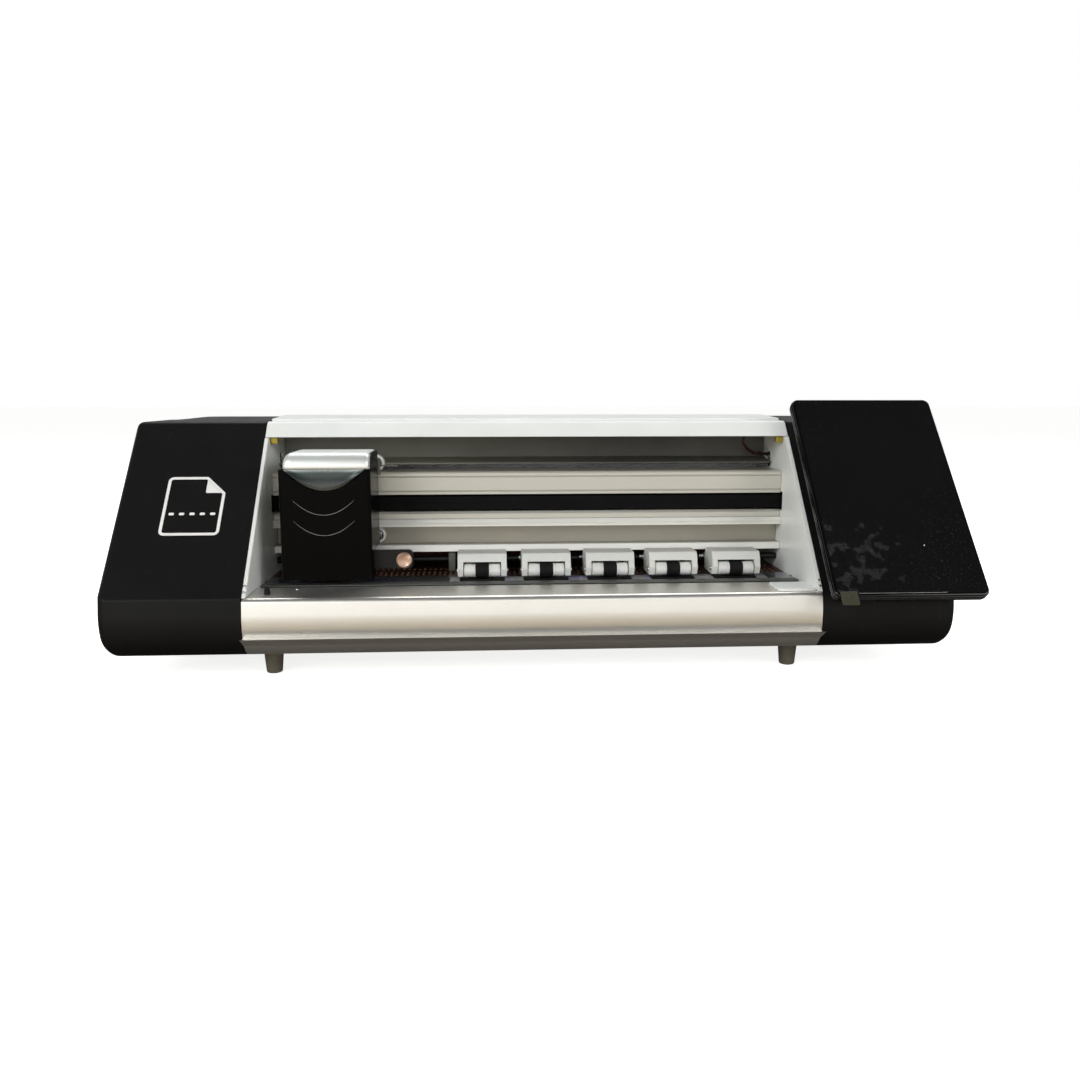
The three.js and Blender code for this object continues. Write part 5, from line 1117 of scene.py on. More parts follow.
@dataclass
class Bed:
    """What the film lies on and is fed by."""

    dot_pitch: float = 0.0043
    ribs: int = 64
    sleeve_width: float = 0.034

    def surfaces(self) -> None:
        """The platen, the cutting strip and the dark guide sheet with its rows of dots."""
        soften("platen", "platen_sheet", "chassis", "grey_plate", PLATEN_METAL, 0.0003)
        soften("cutting_strip", "cutting_band", "chassis", "strip_grey", STRIP_GREY, 0.0003)
        soften("rear_guide", "guide_sheet", "chassis", "guide_brown", GUIDE_BROWN, 0.0003)
        guide = Span.of("rear_guide")
        margin = 0.003
        starts = [Vector((guide.low.x + margin, guide.low.y + back, guide.high.z))
                  for back in (0.0035, 0.012, 0.026)]
        count = int((guide.size.x - 2 * margin) / self.dot_pitch)
        dots = dot_recipe().grow("guide_dots", DOT_BROWN, starts, count=count, pitch=(self.dot_pitch, 0.0, 0.0),
                                 radius=0.0011, height=0.0007, seed=7)
        dress(dots, "chassis", "guide_brown", DOT_BROWN)

    def bridges(self) -> None:
        """The bright strips of platen that cross its window between the sleeves; their pale, mostly diffuse lilac
        is a painted reflection.
        """
        platen, shaft = Span.of("platen"), Span.of("feed_shaft")
        middles = [Span.of(f"pinch_arm_{unit}").middle.x for unit in range(1, 6)]
        pitch = middles[1] - middles[0]
        gap, reach = 0.0006, shaft.size.z / 2 + 0.0006
        clear = self.sleeve_width / 2 + gap
        starts = [middles[0] - pitch / 2, *[middle + clear for middle in middles]]
        ends = [*[middle - clear for middle in middles], middles[-1] + pitch / 2]
        strips = []
        for start, end in zip(starts, ends):
            low = Vector((start, shaft.middle.y - reach, platen.high.z - 0.0012))
            high = Vector((end, shaft.middle.y + reach, platen.high.z))
            strips.append(eased(block("strip", low, high, 0.0008), 0.0002, 2))
        dress(fused("platen_bridges", *strips), "chassis", "grey_plate", BRIDGE_LILAC)

    def brush(self) -> None:
        """The brown brush that keeps dust out of the film's exit: two staggered rows of bristles."""
        cover, guide = Span.of("top_cover"), Span.of("rear_guide")
        tall = cover.low.z - guide.high.z + 0.0015
        bristle = (0.0008, 0.0007, tall)
        count = int((guide.size.x - 0.002) / bristle[0])
        middle = cover.low.z - tall / 2 + 0.001
        starts = [Vector((guide.low.x + 0.001 + shift, cover.high.y - 0.0018 + back, middle))
                  for shift, back in ((0.0, 0.0), (0.0004, 0.0008))]
        rows = chip_recipe().grow("exit_brush", BRUSH_BROWN, starts, count=count,
                                  pitch=(bristle[0] * 0.998, 0.0, 0.0), size=bristle)
        dress(rows, "chassis", "guide_brown", BRUSH_BROWN)

    def shaft(self) -> None:
        """The ground feed shaft and its five ribbed rubber sleeves."""
        span = Span.of("feed_shaft")
        centre = Vector((0.0, span.middle.y, span.middle.z))
        radius, chamfer = 0.004, 0.0006
        profile = [(0.0, span.low.x), (radius - chamfer, span.low.x), (radius, span.low.x + chamfer),
                   (radius, span.high.x - chamfer), (radius - chamfer, span.high.x), (0.0, span.high.x)]
        dress(lathe("ground_shaft", Axis.X, centre, profile), "feed", "bright_steel", STEEL, "feed_shaft")
        sleeves = []
        for unit in range(1, 6):
            middle = Span.of(f"pinch_arm_{unit}").middle.x
            sleeves.append(self.sleeve(centre, middle, self.sleeve_width, span.size.z / 2))
        dress(fused("grip_sleeves", *sleeves), "feed", "rubber_black", RUBBER)

    def sleeve(self, centre: Vector, middle: float, width: float, radius: float) -> Object:
        """One sleeve: fine ribs along its length, eased at its ends."""
        stations = [(0.00405, -0.5), (radius - 0.0006, -0.5), (radius, -0.485), (radius, 0.485),
                    (radius - 0.0006, 0.5), (0.00405, 0.5)]
        loops = []
        for reach, along in stations:
            loop = []
            for step in range(self.ribs * 4):
                turn = 2 * math.pi * step / (self.ribs * 4)
                dip = 0.00016 if step % 4 == 0 and reach > 0.005 else 0.0
                out = reach - dip
                loop.append(centre + Axis.X.point(out * math.cos(turn), out * math.sin(turn),
                                                  middle + along * width))
            loops.append(loop)
        return loft("sleeve", loops, cycle=True)

    def make(self) -> None:
        """Makes the bed and the feed line."""
        self.surfaces()
        self.bridges()
        self.brush()
        self.shaft()
        soften("shaft_coupling", "split_coupling", "feed", "rail_aluminium", RAIL_SILVER, 0.0005)
        soften("feed_motor", "feed_drive_motor", "chassis", "motor_black", MOTOR_STEEL, 0.0005)
        for side in ("left", "right"):
            piece = cad_copy(f"{side}_shaft_bearing", f"{side}_bearing_ring", 0.0003)
            dress(piece, "chassis", "bright_steel", STEEL, f"{side}_shaft_bearing")


@dataclass
class PinchUnits:
    """The five sprung pinch arms with their rollers, and the rod they turn on."""

    cheek: float = 0.0043
    tyre_width: float = 0.0105
    hub_radius: float = 0.0052

    def roller(self, unit: int, heads: Recipe, template: Object) -> None:
        """One roller: a white hub, a ribbed black tyre and the axle's two heads."""
        span, body = Span.of(f"pinch_roller_{unit}"), f"roller_{unit}"
        centre, end, tyre = span.middle, span.size.x / 2, span.size.z / 2
        hub, half = end - self.cheek - 0.0006, self.tyre_width / 2
        r, axle, rim = self.hub_radius, 0.0015, 0.0007
        sides = [(0.0, -end), (axle, -end), (axle, -hub), (r - rim, -hub), (r, -hub + rim),
                 (r, -half - 0.0022), (r - 0.0003, -half - 0.0019), (r - 0.0003, -half - 0.0013),
                 (r, -half - 0.001), (r, -half + 0.0002)]
        profile = sides + [(radius, -along) for radius, along in reversed(sides)]
        dress(lathe(f"roller_hub_{unit}", Axis.X, centre, profile), body, "nylon_white", HUB_NYLON,
              f"pinch_roller_{unit}")
        profile = [(r - 0.0002, -half), (tyre - 0.0008, -half), (tyre - 0.0002, -half + 0.0004)]
        for step in range(7):
            place = (step - 3) * 0.0013
            profile += [(tyre, place - 0.0005), (tyre, place + 0.0003), (tyre - 0.0002, place + 0.00045)]
        profile += [(tyre - 0.0008, half), (r - 0.0002, half), (r - 0.0002, -half)]
        dress(lathe(f"roller_tyre_{unit}", Axis.X, centre, profile, 40), body, "rubber_black", RUBBER)
        for side, way in (("left", -1.0), ("right", 1.0)):
            facing = Euler((0.0, way * math.pi / 2, 0.0))
            head = heads.grow(f"axle_head_{side}_{unit}", STEEL,
                              [centre + Vector((way * (end + 0.0001), 0.0, 0.0))],
                              head=template, facing=facing, size=0.0021, seed=unit)
            dress(head, body, "bright_steel", STEEL)

    def arm(self, unit: int, springs: Recipe) -> None:
        """One arm and the two springs that press it down."""
        node, rod = f"pinch_arm_{unit}", Span.of("pinch_pivot_rod")
        soften(node, f"sprung_arm_{unit}", f"pinch_{unit}", "nylon_white", NYLON, 0.0006, 3, 24.0)
        arm = Span.of(node)
        boss = 0.0062
        starts = [Vector((arm.low.x - 0.001, rod.middle.y, rod.middle.z)),
                  Vector((arm.high.x - boss + 0.0006, rod.middle.y, rod.middle.z))]
        spring = springs.grow(f"pinch_springs_{unit}", STEEL, starts, turns=7.0, radius=0.0034, wire=0.0004,
                              length=boss)
        dress(spring, "chassis", "bright_steel", STEEL)

    def bracket(self) -> None:
        """The grey post that carries the rod, left of the first arm."""
        arm, rod = Span.of("pinch_arm_1"), Span.of("pinch_pivot_rod")
        floor = Span.of("rear_guide").high.z
        x, y, reach, high = arm.low.x - 0.0085, rod.middle.y, 0.006, arm.high.z - 0.0038
        outline = rounded([(y - reach, floor, 0.0), (y + reach, floor, 0.0), (y + reach, high, 0.003),
                           (y - reach, high, 0.003)])
        post = eased(prism("rod_post", Axis.X, outline, x, x + 0.0055), 0.0005)
        dress(post, "chassis", "grey_plate", GREY_SHEET)

    def make(self, heads: Recipe, template: Object) -> None:
        """Makes the rod, the post and the five units."""
        springs = spring_recipe()
        for unit in range(1, 6):
            self.roller(unit, heads, template)
            self.arm(unit, springs)
        self.bracket()
        rod = Span.of("pinch_pivot_rod")
        radius = rod.size.z / 2
        profile = [(0.0, rod.low.x), (radius, rod.low.x), (radius, rod.high.x), (0.0, rod.high.x)]
        piece = lathe("pivot_rod", Axis.X, Vector((0.0, rod.middle.y, rod.middle.z)), profile)
        dress(piece, "chassis", "bright_steel", MOTOR_STEEL, "pinch_pivot_rod")


@dataclass
class Carriage:
    """The tool carriage: cover, silver hood, wheels, side arm and the tool inside."""

    wall: float = 0.002
    chin_depth: float = 0.020
    chin_height: float = 0.020
    tongue: float = 0.016
    hood_inset: float = 0.0036
    crown_drop: float = 0.0028
    cheek: float = 0.0032

    def edge_drop(self, across: float) -> float:
        """How far the tongue hangs below the cover's top, at -1 to 1 across the front."""
        return self.tongue * (1 - across * across)

    def cover(self) -> Object:
        """The black cover: an open U in plan, notched for the tongue, with one tall cheek on the right."""
        span, base = Span.of("carriage_cover"), 0.0012
        half, middle, w = span.size.x / 2, span.middle.x, self.wall
        front, back, top, low = span.low.y, span.high.y, span.high.z, span.low.z
        outer = rounded([(half, back, 0.0), (-half, back, 0.0), (-half, front, 0.0032), (half, front, 0.0032)], 7)
        inner = rounded([(half - w, back, 0.0), (-half + w, back, 0.0), (-half + w, front + w, base),
                         (half - w, front + w, base)], 7)
        plan = outer[1:] + [outer[0]] + [inner[0]] + list(reversed(inner[1:]))
        levels = [low, low + 0.02, low + 0.045, top]
        shell = loft("hood_cover", [[Vector((middle + a, b, z)) for a, b in plan] for z in levels])
        behind = block("behind", Vector((span.low.x - 0.01, front + self.chin_depth, low - 0.01)),
                       Vector((span.high.x + 0.01, back + 0.01, low + self.chin_height)))
        steps = 24
        notch = [(top + 0.01, half + 0.01), (top + 0.01, -half - 0.01), (top - 0.0001, -half - 0.01)]
        for step in range(steps + 1):
            across = 2 * step / steps - 1
            notch.append((top - 0.0001 - self.edge_drop(across), across * (half - self.hood_inset)))
        notch.append((top - 0.0001, half + 0.01))
        tool = prism("notch", Axis.Y, [(z, middle + x) for z, x in notch], front - 0.01, front + w + 0.003)
        arm = Span.of("tool_arm")
        slot = block("arm_slot", Vector((span.high.x - 0.004, arm.low.y - 0.0004, arm.low.z - 0.0004)),
                     Vector((span.high.x + 0.01, arm.low.y + 0.0045, arm.low.z + 0.0145)))
        carved(shell, behind, tool, slot)
        tall = top + 0.0115
        nose = front + 0.006
        side = rounded([(back, low + self.chin_height + 0.002, 0.001), (back, tall, 0.004), (nose, tall, 0.011),
                        (nose, low + self.chin_height + 0.002, 0.001)], 8)
        plate = prism("cheek", Axis.X, side, span.high.x - self.cheek, span.high.x - 0.0001)
        carved(shell, plate, operation="UNION")
        return eased(shell, 0.0005, 3, 40.0)

    def hood(self) -> Object:
        """The silver hood: a flat crown that rolls over the front and round its left end."""
        span, cover = Span.of("carriage_top"), Span.of("carriage_cover")
        start, end = cover.low.x + self.hood_inset, cover.high.x - 0.0007
        back, low, front = span.high.y, cover.high.z + 0.0003, span.low.y + 0.0004
        roll_end = 0.0065
        stations = [(roll_end * (1 - math.cos(step * math.pi / 20)), roll_end) for step in range(11)]
        loops = []
        for out, roll in stations:
            loops.append((start + out, roll - math.sqrt(max(roll * roll - (roll - out) ** 2, 0.0))))
        for out in (0.006, 0.003, 0.0012, 0.0):
            short = 0.003
            drop = short - math.sqrt(max(short * short - max(short - out, 0.0) ** 2, 0.0))
            loops.append((end - out, drop))
        skins = []
        for x, drop in loops:
            top = span.high.z - self.crown_drop - drop
            nose = front + min(drop * 0.45, 0.004)
            corners = [(back, low, 0.0003), (back, top, 0.003), (nose, top, min(0.0105, (top - low) * 0.8)),
                       (nose, low, 0.0016)]
            skins.append([Axis.X.point(y, z, x) for y, z in rounded(corners, 10)])
        return loft("silver_hood", skins, smooth=50.0)

    def tongue_piece(self) -> Object:
        """The tongue that hangs from the hood over the cover's front."""
        cover = Span.of("carriage_cover")
        half = cover.size.x / 2 - self.hood_inset - 0.0004
        middle, top, front = cover.middle.x, cover.high.z + 0.0002, cover.low.y
        columns, rows, thick = 32, 10, 0.0016
        skins = []
        for column in range(columns + 1):
            across = (2 * column / columns - 1) * 0.985
            drop = max(self.edge_drop(across) - 0.0006, 0.0002)
            face, rear = [], []
            for row in range(rows + 1):
                share = row / rows
                hollow = 0.0016 * math.cos(share * math.pi / 2) ** 1.5
                roll = 0.0006 * max(share - 0.88, 0.0) / 0.12
                y = front - 0.0004 + hollow + roll
                face.append(Vector((middle + across * half, y, top - drop * share)))
                rear.append(Vector((middle + across * half, y + thick, top - drop * share)))
            skins.append(face + list(reversed(rear)))
        return loft("smoked_tongue", skins, smooth=60.0)

    def smile_lines(self) -> Object:
        """Two thin curved lines, raised on the cover's front and tapered at both ends."""
        cover = Span.of("carriage_cover")
        centre = Vector((cover.middle.x - 0.001, cover.low.y - 0.00002, 0.0))
        lines = []
        for height in (0.0488, 0.0336):
            points, radii, steps = [], [], 40
            for step in range(steps + 1):
                share = 2 * step / steps - 1
                x = share * 0.0222
                points.append(centre + Vector((x, 0.0, cover.low.z + height + 22.0 * x * x)))
                radii.append(0.0001 + 0.0002 * (1 - share ** 4))
            lines.append(sweep("line", points, radii, 8))
        return fused("smile_lines", *lines)

    def wheels(self) -> None:
        """Four nylon wheels, each with a steel bearing in it."""
        for level, side in (("upper", "left"), ("upper", "right"), ("lower", "left"), ("lower", "right")):
            node, body = f"{level}_{side}_wheel", f"wheel_{level}_{side}"
            span = Span.of(node)
            r, half, bore = span.size.x / 2, span.size.y / 2, 0.0046
            profile = [(bore, -half + 0.0006), (bore + 0.0005, -half), (r - 0.0012, -half),
                       (r - 0.0003, -half + 0.0004), (r, -half + 0.0012), (r, half - 0.0012),
                       (r - 0.0003, half - 0.0004), (r - 0.0012, half), (bore + 0.0005, half), (bore, half - 0.0006), (bore, -half + 0.0006)]
            dress(lathe(node + "_tyre", Axis.Y, span.middle, profile), body, "nylon_white", NYLON, node)
            inner = 0.00245
            profile = [(inner, -half + 0.0003), (inner + 0.0006, -half + 0.0003), (inner + 0.0008, -half + 0.0008),
                       (bore - 0.0004, -half + 0.0008), (bore - 0.0002, -half + 0.0004), (bore, -half + 0.0004)]
            profile += [(radius, -along) for radius, along in reversed(profile)] + [profile[0]]
            dress(lathe(node + "_bearing", Axis.Y, span.middle, profile), body, "bright_steel", STEEL)

    def screw(self) -> None:
        """The copper thumb screw: a dished face, a chamfered rim and a knurled edge."""
        span = Span.of("thumb_screw")
        r, front, back = span.size.x / 2, span.low.y, span.low.y + 0.005
        centre = Vector((span.middle.x, 0.0, span.middle.z))
        profile = [(0.0, front + 0.0009), (0.0012, front + 0.0009), (0.0022, front + 0.0006),
                   (0.0036, front + 0.0005),
                   (0.0041, front + 0.0001), (r - 0.0011, front), (r - 0.0003, front + 0.0006),
                   (r - 0.0003, back - 0.0005), (r - 0.0008, back), (0.002, back), (0.002, span.high.y),
                   (0.0, span.high.y)]
        copper = TurnedFinish("copper_turned", 0xC8A894, 0.34, 0.8, drift=0.06, spread=0.05,
                              centre=(centre.x, 0.0, centre.z))
        dress(lathe("copper_knob", Axis.Y, centre, profile, 64), "thumb", "copper_screw", copper, "thumb_screw")
        knurl = knurl_recipe().grow("knob_knurl", copper, [Vector((centre.x, (front + back) / 2, centre.z))],
                                    count=44, radius=r - 0.00035, ridge=(0.0005, 0.0004, 0.0034))
        dress(knurl, "thumb", "copper_screw", copper)

    def make(self) -> None:
        """Makes every piece of the carriage."""
        cover, sled = Span.of("carriage_cover"), Span.of("carriage_sled")
        dress(self.cover(), "carriage", "carriage_black", COVER_BLACK, "carriage_cover")
        dress(self.hood(), "carriage", "carriage_silver", TOP_SILVER, "carriage_top")
        lip = cover.high.z
        # Painted reflection: the tongue is painted pale at its foot, dark through its middle and pale again at the
        # lip, as a silver face mirroring darker surroundings would look.
        painted_reflection = GradedFinish("tongue_painted_reflection", 0x3A4240, 0.26, 0.6, drift=0.03, spread=0.04, relief=0.04, stops=(
            (lip - 0.0160, 0x9A9C9A), (lip - 0.0150, 0x50514F), (lip - 0.0070, 0x262D2C),
            (lip - 0.0022, 0x3C4644), (lip, 0xA4ABA8)))
        dress(self.tongue_piece(), "carriage", "carriage_silver", painted_reflection)
        # The smile lines are raised ridges in light grey; the grey is partly a painted highlight along their
        # crests.
        dress(self.smile_lines(), "carriage", "light_grey_line", LINE_GREY)
        soften("carriage_sled", "sled_plate", "carriage", "grey_plate", GREY_SHEET, 0.0004)
        soften("tool_arm", "side_arm", "carriage", "moulded_black", MOULDED, 0.0006, 3)
        soften("tool_holder", "tool_block", "tool", "moulded_black", MOULDED, 0.0005)
        soften("blade_holder", "blade_barrel", "blade", "bright_steel", STEEL, 0.0002)
        self.wheels()
        self.screw()
        wheel = Span.of("upper_right_wheel")
        start = Vector((sled.high.x - 0.006, sled.high.y - 0.0225, wheel.middle.z - 0.001))
        pin = sweep("carriage_pin", [start + Vector((along, 0.0, 0.0)) for along in (0.0, 0.010, 0.0195)], 0.0006)
        dress(pin, "carriage", "bright_steel", STEEL)


@dataclass
class Screen:
    """The touch screen: a shell with a stepped rim, black glass, and the film still on it."""

    width: float = 0.114
    height: float = 0.180
    corner: float = 0.006
    stand: float = 0.008
    depth: float = 0.010
    above: float = 0.008

    @property
    def middle(self) -> tuple[float, float]:
        """The middle of the screen: its x, and its distance up the slope."""
        slope = (SECTION.brow - SECTION.crease).length
        return Span.of("screen_glass").middle.x, slope + self.above - self.height / 2

    def layers(self, name: str, steps: list[Pair], shrink: float = 0.0) -> Object:
        """A slab through rounded rectangles, each an inset and a height off the slope."""
        x, along = self.middle
        loops = []
        for inward, proud in steps:
            corners = inset(rectangle(self.width, self.height, self.corner), inward + shrink)
            loops.append([SECTION.on_slope(x + a, along + b, proud) for a, b in rounded(corners, 8)])
        return loft(name, loops, smooth=40.0)

    def make(self) -> None:
        """Makes the shell, the glass, the film, its tab and the small details."""
        base, face = self.stand, self.stand + self.depth
        shell = self.layers("screen_body", [
            (0.0060, base), (0.0026, base + 0.0003), (0.0010, base + 0.0013), (0.0003, base + 0.0027),
            (0.0, base + 0.0042), (0.0, base + 0.0056), (0.0006, base + 0.0059), (0.0006, base + 0.0063),
            (0.0, base + 0.0066), (0.0, base + 0.0078), (0.0003, base + 0.0081), (0.0009, base + 0.0082)])
        dress(shell, "chassis", "moulded_black", SHELL_BLACK, "screen_shell")
        glass = self.layers("screen_pane", [
            (0.0010, face - 0.0015), (0.0006, face - 0.0013), (0.0006, face - 0.0008), (0.0008, face - 0.0004),
            (0.0013, face - 0.0001), (0.0020, face)])
        dress(glass, "chassis", "gloss_black", GLASS_BLACK, "screen_glass")
        repaint(MOULDED, "screen_bracket")
        self.film(face)

    def film(self, face: float) -> None:
        """The clear film, with a pull tab at its lower left, and a camera and lamp under it."""
        x, along = self.middle
        left, low = x - self.width / 2, along - self.height / 2
        cover = self.layers("clear_film", [(0.0026, face + 0.00005), (0.0026, face + 0.00022)])
        corner = SECTION.on_slope(left + 0.016, low + 0.026, face)
        haze = FilmFinish("film_clear", 0x9A9A98, 0.34, drift=0.05, relief=0.05, alpha=0.006,
                          corner=tuple(corner), reach=0.062)
        dress(cover, "chassis", "clear_film", haze)
        tab = []
        tab_corners = inset([(0.004, -0.0065, 0.0012), (0.0165, -0.0065, 0.0012), (0.0165, 0.0045, 0.001),
                             (0.004, 0.0045, 0.001)], 0.0)
        for lift in (0.00024, 0.00042):
            tab.append([SECTION.on_slope(left + a, low + b, face + lift) for a, b in rounded(tab_corners, 4)])
        dress(loft("film_tab", tab), "chassis", "clear_film", TAB_OLIVE)
        edge = [SECTION.on_slope(left + 0.0175 + 0.004 * step, low + 0.0028, face + 0.0003)
                for step in range(17)]
        dress(sweep("film_fold", edge, 0.00018, 6), "chassis", "clear_film", LINE_GREY)
        for name, a, b, radius, finish in (("front_camera", 0.0, self.height / 2 - 0.012, 0.0013, SHELL_BLACK),
                                           ("status_lamp", 0.018, -self.height / 2 + 0.042, 0.00045, LAMP_WHITE)):
            turns = [2 * math.pi * step / 20 for step in range(20)]
            spot = [[SECTION.on_slope(x + a + radius * math.cos(turn), along + b + radius * math.sin(turn),
                                      face + lift) for turn in turns] for lift in (-0.0002, 0.00003)]
            dress(loft(name, spot), "chassis", "gloss_black", finish)


@dataclass
class Electrics:
    """The power inlet with its pins and rocker, the data socket and the control board."""

    pin: Corner = (0.0023, 0.0125, 0.0031)

    def make(self) -> None:
        """Makes the pieces at the back of the right cap."""
        inlet, data = Span.of("power_inlet"), Span.of("data_socket")
        soften("power_inlet", "inlet_module", "chassis", "moulded_black", MOULDED, 0.0005)
        wide, deep, tall = self.pin
        pins, mouth = [], Vector((inlet.low.x + 0.01625, inlet.high.y - 0.0204, inlet.middle.z))
        for x, lift in ((-0.007, 0.0), (0.0, 0.003), (0.007, 0.0)):
            centre = mouth + Vector((x, deep / 2 - 0.0001, lift))
            size = Vector((wide, deep, tall)) / 2
            pins.append(eased(block("pin", centre - size, centre + size), 0.0004))
        dress(fused("inlet_pins", *pins), "chassis", "bright_steel", BRASS)
        soften("power_rocker", "rocker_switch", "rocker", "gloss_black", SHELL_BLACK, 0.0005, 3)
        soften("data_socket", "data_shell", "chassis", "bright_steel", STEEL, 0.0002)
        tongue = block("data_tongue", Vector((data.low.x + 0.0022, data.low.y + 0.0032, data.middle.z - 0.0004)),
                       Vector((data.high.x - 0.0022, data.high.y - 0.0012, data.middle.z + 0.0014)))
        dress(eased(tongue, 0.0002), "chassis", "moulded_black", MOULDED)
        repaint(BOARD_GREEN, "control_board")


@dataclass
class Fasteners:
    """The machine's visible screws, grown from one head."""

    small: float = 0.0021
    large: float = 0.0030

    def head(self) -> Object:
        """A unit pan head with a cross recess, facing up."""
        profile = [(0.0, 0.62), (0.35, 0.60), (0.68, 0.48), (0.92, 0.26), (1.0, 0.06), (0.98, -0.04),
                   (0.0, -0.04)]
        head = lathe("pan_head", Axis.Z, Vector((0, 0, 0)), profile, 28)
        for long, short in ((0.62, 0.13), (0.13, 0.62)):
            carved(head, block("recess", Vector((-long, -short, 0.34)), Vector((long, short, 0.8))))
        return head

    def make(self, heads: Recipe, template: Object) -> None:
        """Grows the screws of the frame, one piece for each face they stand on."""
        cover, base, front = Span.of("top_cover"), Span.of("base_plate"), Span.of("front_extrusion")
        plates = [Span.of("left_side_plate"), Span.of("right_side_plate")]
        inlet, rear = Span.of("power_inlet"), Euler((-math.pi / 2, 0.0, 0.0))
        down = Euler((math.pi, 0.0, 0.0))
        slope = Vector((1, 0, 0)).cross(SECTION.up_slope)
        out = slope.to_track_quat("Z", "Y").to_euler()
        spread = [cover.low.x + 0.012 + cover.size.x * share for share in (0.0, 0.19, 0.38, 0.57, 0.76)]
        spread.append(cover.high.x - 0.012)
        rows = [
            ("cover_screws", rear, self.large, 3,
             [Vector((x, cover.high.y, cover.low.z + 0.008)) for x in spread]),
            ("base_screws", down, self.large, 5,
             [Vector((x, y, base.low.z)) for x in spread for y in (front.high.y + 0.02, base.high.y - 0.012)]),
            ("front_screws", out, 0.0012, 8,
             [SECTION.on_slope(plate.middle.x, up, -0.0004) for plate in plates for up in (0.0055, 0.0105)]),
            ("inlet_screws", rear, self.small, 11,
             [Vector((x, inlet.high.y, inlet.middle.z)) for x in (inlet.low.x + 0.0022, inlet.high.x - 0.0022)]),
            ("bed_screws", Euler((0.0, 0.0, 0.0)), 0.0016, 13,
             [Vector((x, front.high.y - 0.006, front.high.z)) for x in (plates[0].high.x + 0.03,
                                                                         plates[1].low.x - 0.017)]),
        ]
        for name, facing, size, seed, places in rows:
            grown = heads.grow(name, STEEL, places, head=template, facing=facing, size=size, seed=seed)
            dress(grown, "chassis", "bright_steel", STEEL)


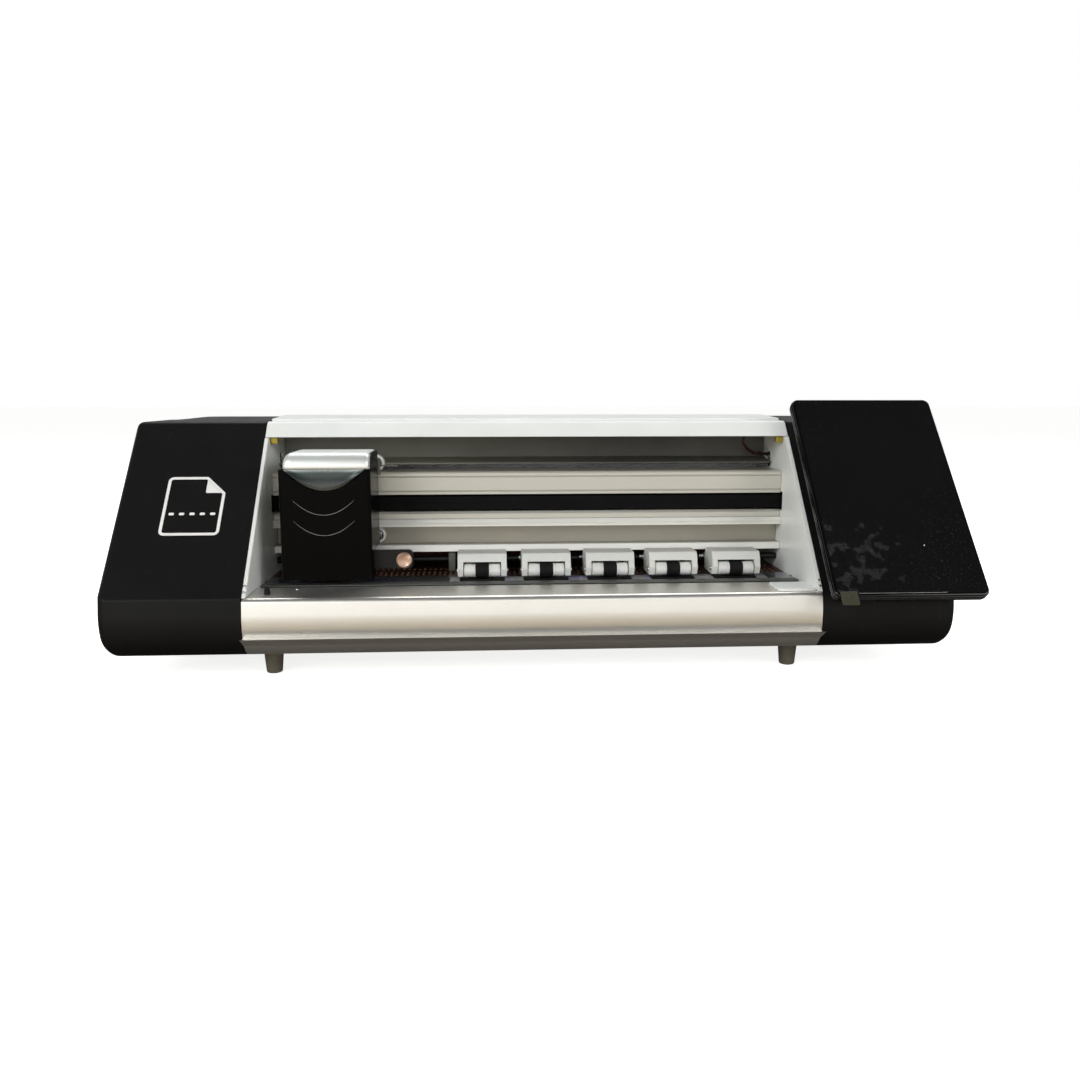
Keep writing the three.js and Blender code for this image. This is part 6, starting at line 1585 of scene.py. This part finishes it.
@dataclass
class Studio:
    """A pale floor, soft lights and the camera."""

    eye: Corner = (-0.04116, -0.72082, 0.20693)
    look: Corner = (0.05594, 0.98600, -0.15711)
    lens: float = 30.67
    sensor: float = 36.0
    sky_strength: float = 0.55

    def camera(self) -> None:
        """Places the camera to the left of the middle, a little above the machine."""
        data = bpy.data.cameras.new("studio_camera")
        data.lens, data.sensor_width = self.lens, self.sensor
        camera = bpy.data.objects.new("studio_camera", data)
        camera.location = self.eye
        camera.rotation_euler = Vector(self.look).to_track_quat("-Z", "Y").to_euler()
        bpy.context.scene.collection.objects.link(camera)
        bpy.context.scene.camera = camera

    def lamp(self, name: str, place: Corner, aim: Corner, size: Pair, power: float,
             tint: int = 0xFFFFFF) -> None:
        """A soft area light, aimed at a point."""
        data = bpy.data.lights.new(name, "AREA")
        data.shape = "RECTANGLE"
        data.size, data.size_y = size
        data.energy = power
        data.color = linear(tint)[:3]
        lamp = bpy.data.objects.new(name, data)
        lamp.location = place
        lamp.rotation_euler = (Vector(aim) - Vector(place)).to_track_quat("-Z", "Y").to_euler()
        bpy.context.scene.collection.objects.link(lamp)

    def sky(self) -> None:
        """A pale surround that dims overhead."""
        world = bpy.data.worlds.new("pale_room")
        bpy.context.scene.world = world
        world.use_nodes = True
        tree = world.node_tree
        place = tree.nodes.new("ShaderNodeTexCoord")
        split = tree.nodes.new("ShaderNodeSeparateXYZ")
        ramp = tree.nodes.new("ShaderNodeValToRGB")
        stops = ramp.color_ramp.elements
        stops[0].position, stops[0].color = 0.0, (1.0, 1.0, 1.0, 1.0)
        stops[1].position, stops[1].color = 0.62, (0.10, 0.10, 0.11, 1.0)
        middle = stops.new(0.30)
        middle.color = (0.92, 0.92, 0.92, 1.0)
        tree.links.new(place.outputs["Generated"], split.inputs[0])
        tree.links.new(split.outputs[2], ramp.inputs[0])
        dim = tree.nodes["Background"]
        dim.inputs["Strength"].default_value = self.sky_strength
        tree.links.new(ramp.outputs[0], dim.inputs["Color"])
        plain = tree.nodes.new("ShaderNodeBackground")
        path, both = tree.nodes.new("ShaderNodeLightPath"), tree.nodes.new("ShaderNodeMixShader")
        for source, target in ((path.outputs["Is Camera Ray"], both.inputs[0]),
                               (dim.outputs[0], both.inputs[1]),
                               (plain.outputs[0], both.inputs[2]),
                               (both.outputs[0], tree.nodes["World Output"].inputs[0])):
            tree.links.new(source, target)
        plain.inputs["Color"].default_value = (1.0, 1.0, 1.0, 1.0)

    def floor(self) -> None:
        """A pale floor for the camera, and a warm table top that only light and reflections see."""
        wide = 14.0
        corners = [(-wide, -wide), (wide, -wide), (wide, wide), (-wide, wide)]
        floor = made("studio_floor", [Vector((x, y, 0.0)) for x, y in corners], [(0, 1, 2, 3)])
        table = made("studio_table", [Vector((x, y, -0.001)) for x, y in corners], [(0, 1, 2, 3)])
        pale = Finish("pale_floor", 0xFAFAF8, 0.7, drift=0.004, grain=300.0, relief=0.0, glow=0.85)
        floor.data.materials.append(pale.material())
        # Painted shadow: the table darkens to brown-black within a few centimetres of the machine's front, for the
        # shade under the nose that the silver reflects.
        warm = GradedFinish("warm_table", 0xF4F1EA, 0.5, drift=0.01, way=Axis.Y, stops=(
            (-1.90, 0xF4F1EA), (-0.82, 0xE4D9C4), (-0.28, 0xDDC9A2), (-0.18, 0xB79E78),
            (-0.125, 0x7A664A), (-0.08, 0x3A2E22)))
        table.data.materials.append(warm.material())
        floor.visible_diffuse = floor.visible_glossy = floor.visible_transmission = False
        floor.visible_shadow = False
        table.visible_camera = table.visible_shadow = False

    def make(self) -> None:
        """Sets up the whole studio."""
        bpy.context.scene.view_settings.view_transform = "Standard"
        self.camera()
        self.sky()
        self.floor()
        self.lamp("front_left", (-1.5, -1.7, 1.1), (0.0, 0.0, 0.08), (1.3, 1.0), 24.0)
        self.lamp("front_right", (1.7, -1.5, 1.0), (0.0, 0.0, 0.08), (1.2, 1.0), 15.0)
        self.lamp("high_back", (0.1, 1.1, 1.9), (0.0, -0.1, 0.0), (2.4, 0.9), 32.0)
        self.lamp("low_front", (-0.1, -2.4, 0.45), (0.0, 0.0, 0.10), (2.4, 0.5), 6.5)


def main() -> None:
    """Builds the studio and each sub-assembly in order."""
    logging.basicConfig(level=logging.INFO, format="%(message)s")
    Studio().make()
    fasteners = Fasteners()
    heads, template = fastener_recipe(), fasteners.head()
    EndCaps().make()
    Body().make()
    Gantry().make()
    Bed().make()
    PinchUnits().make(heads, template)
    Carriage().make()
    Screen().make()
    Electrics().make()
    fasteners.make(heads, template)
    bpy.data.objects.remove(template)


if __name__ == "__main__":
    main()
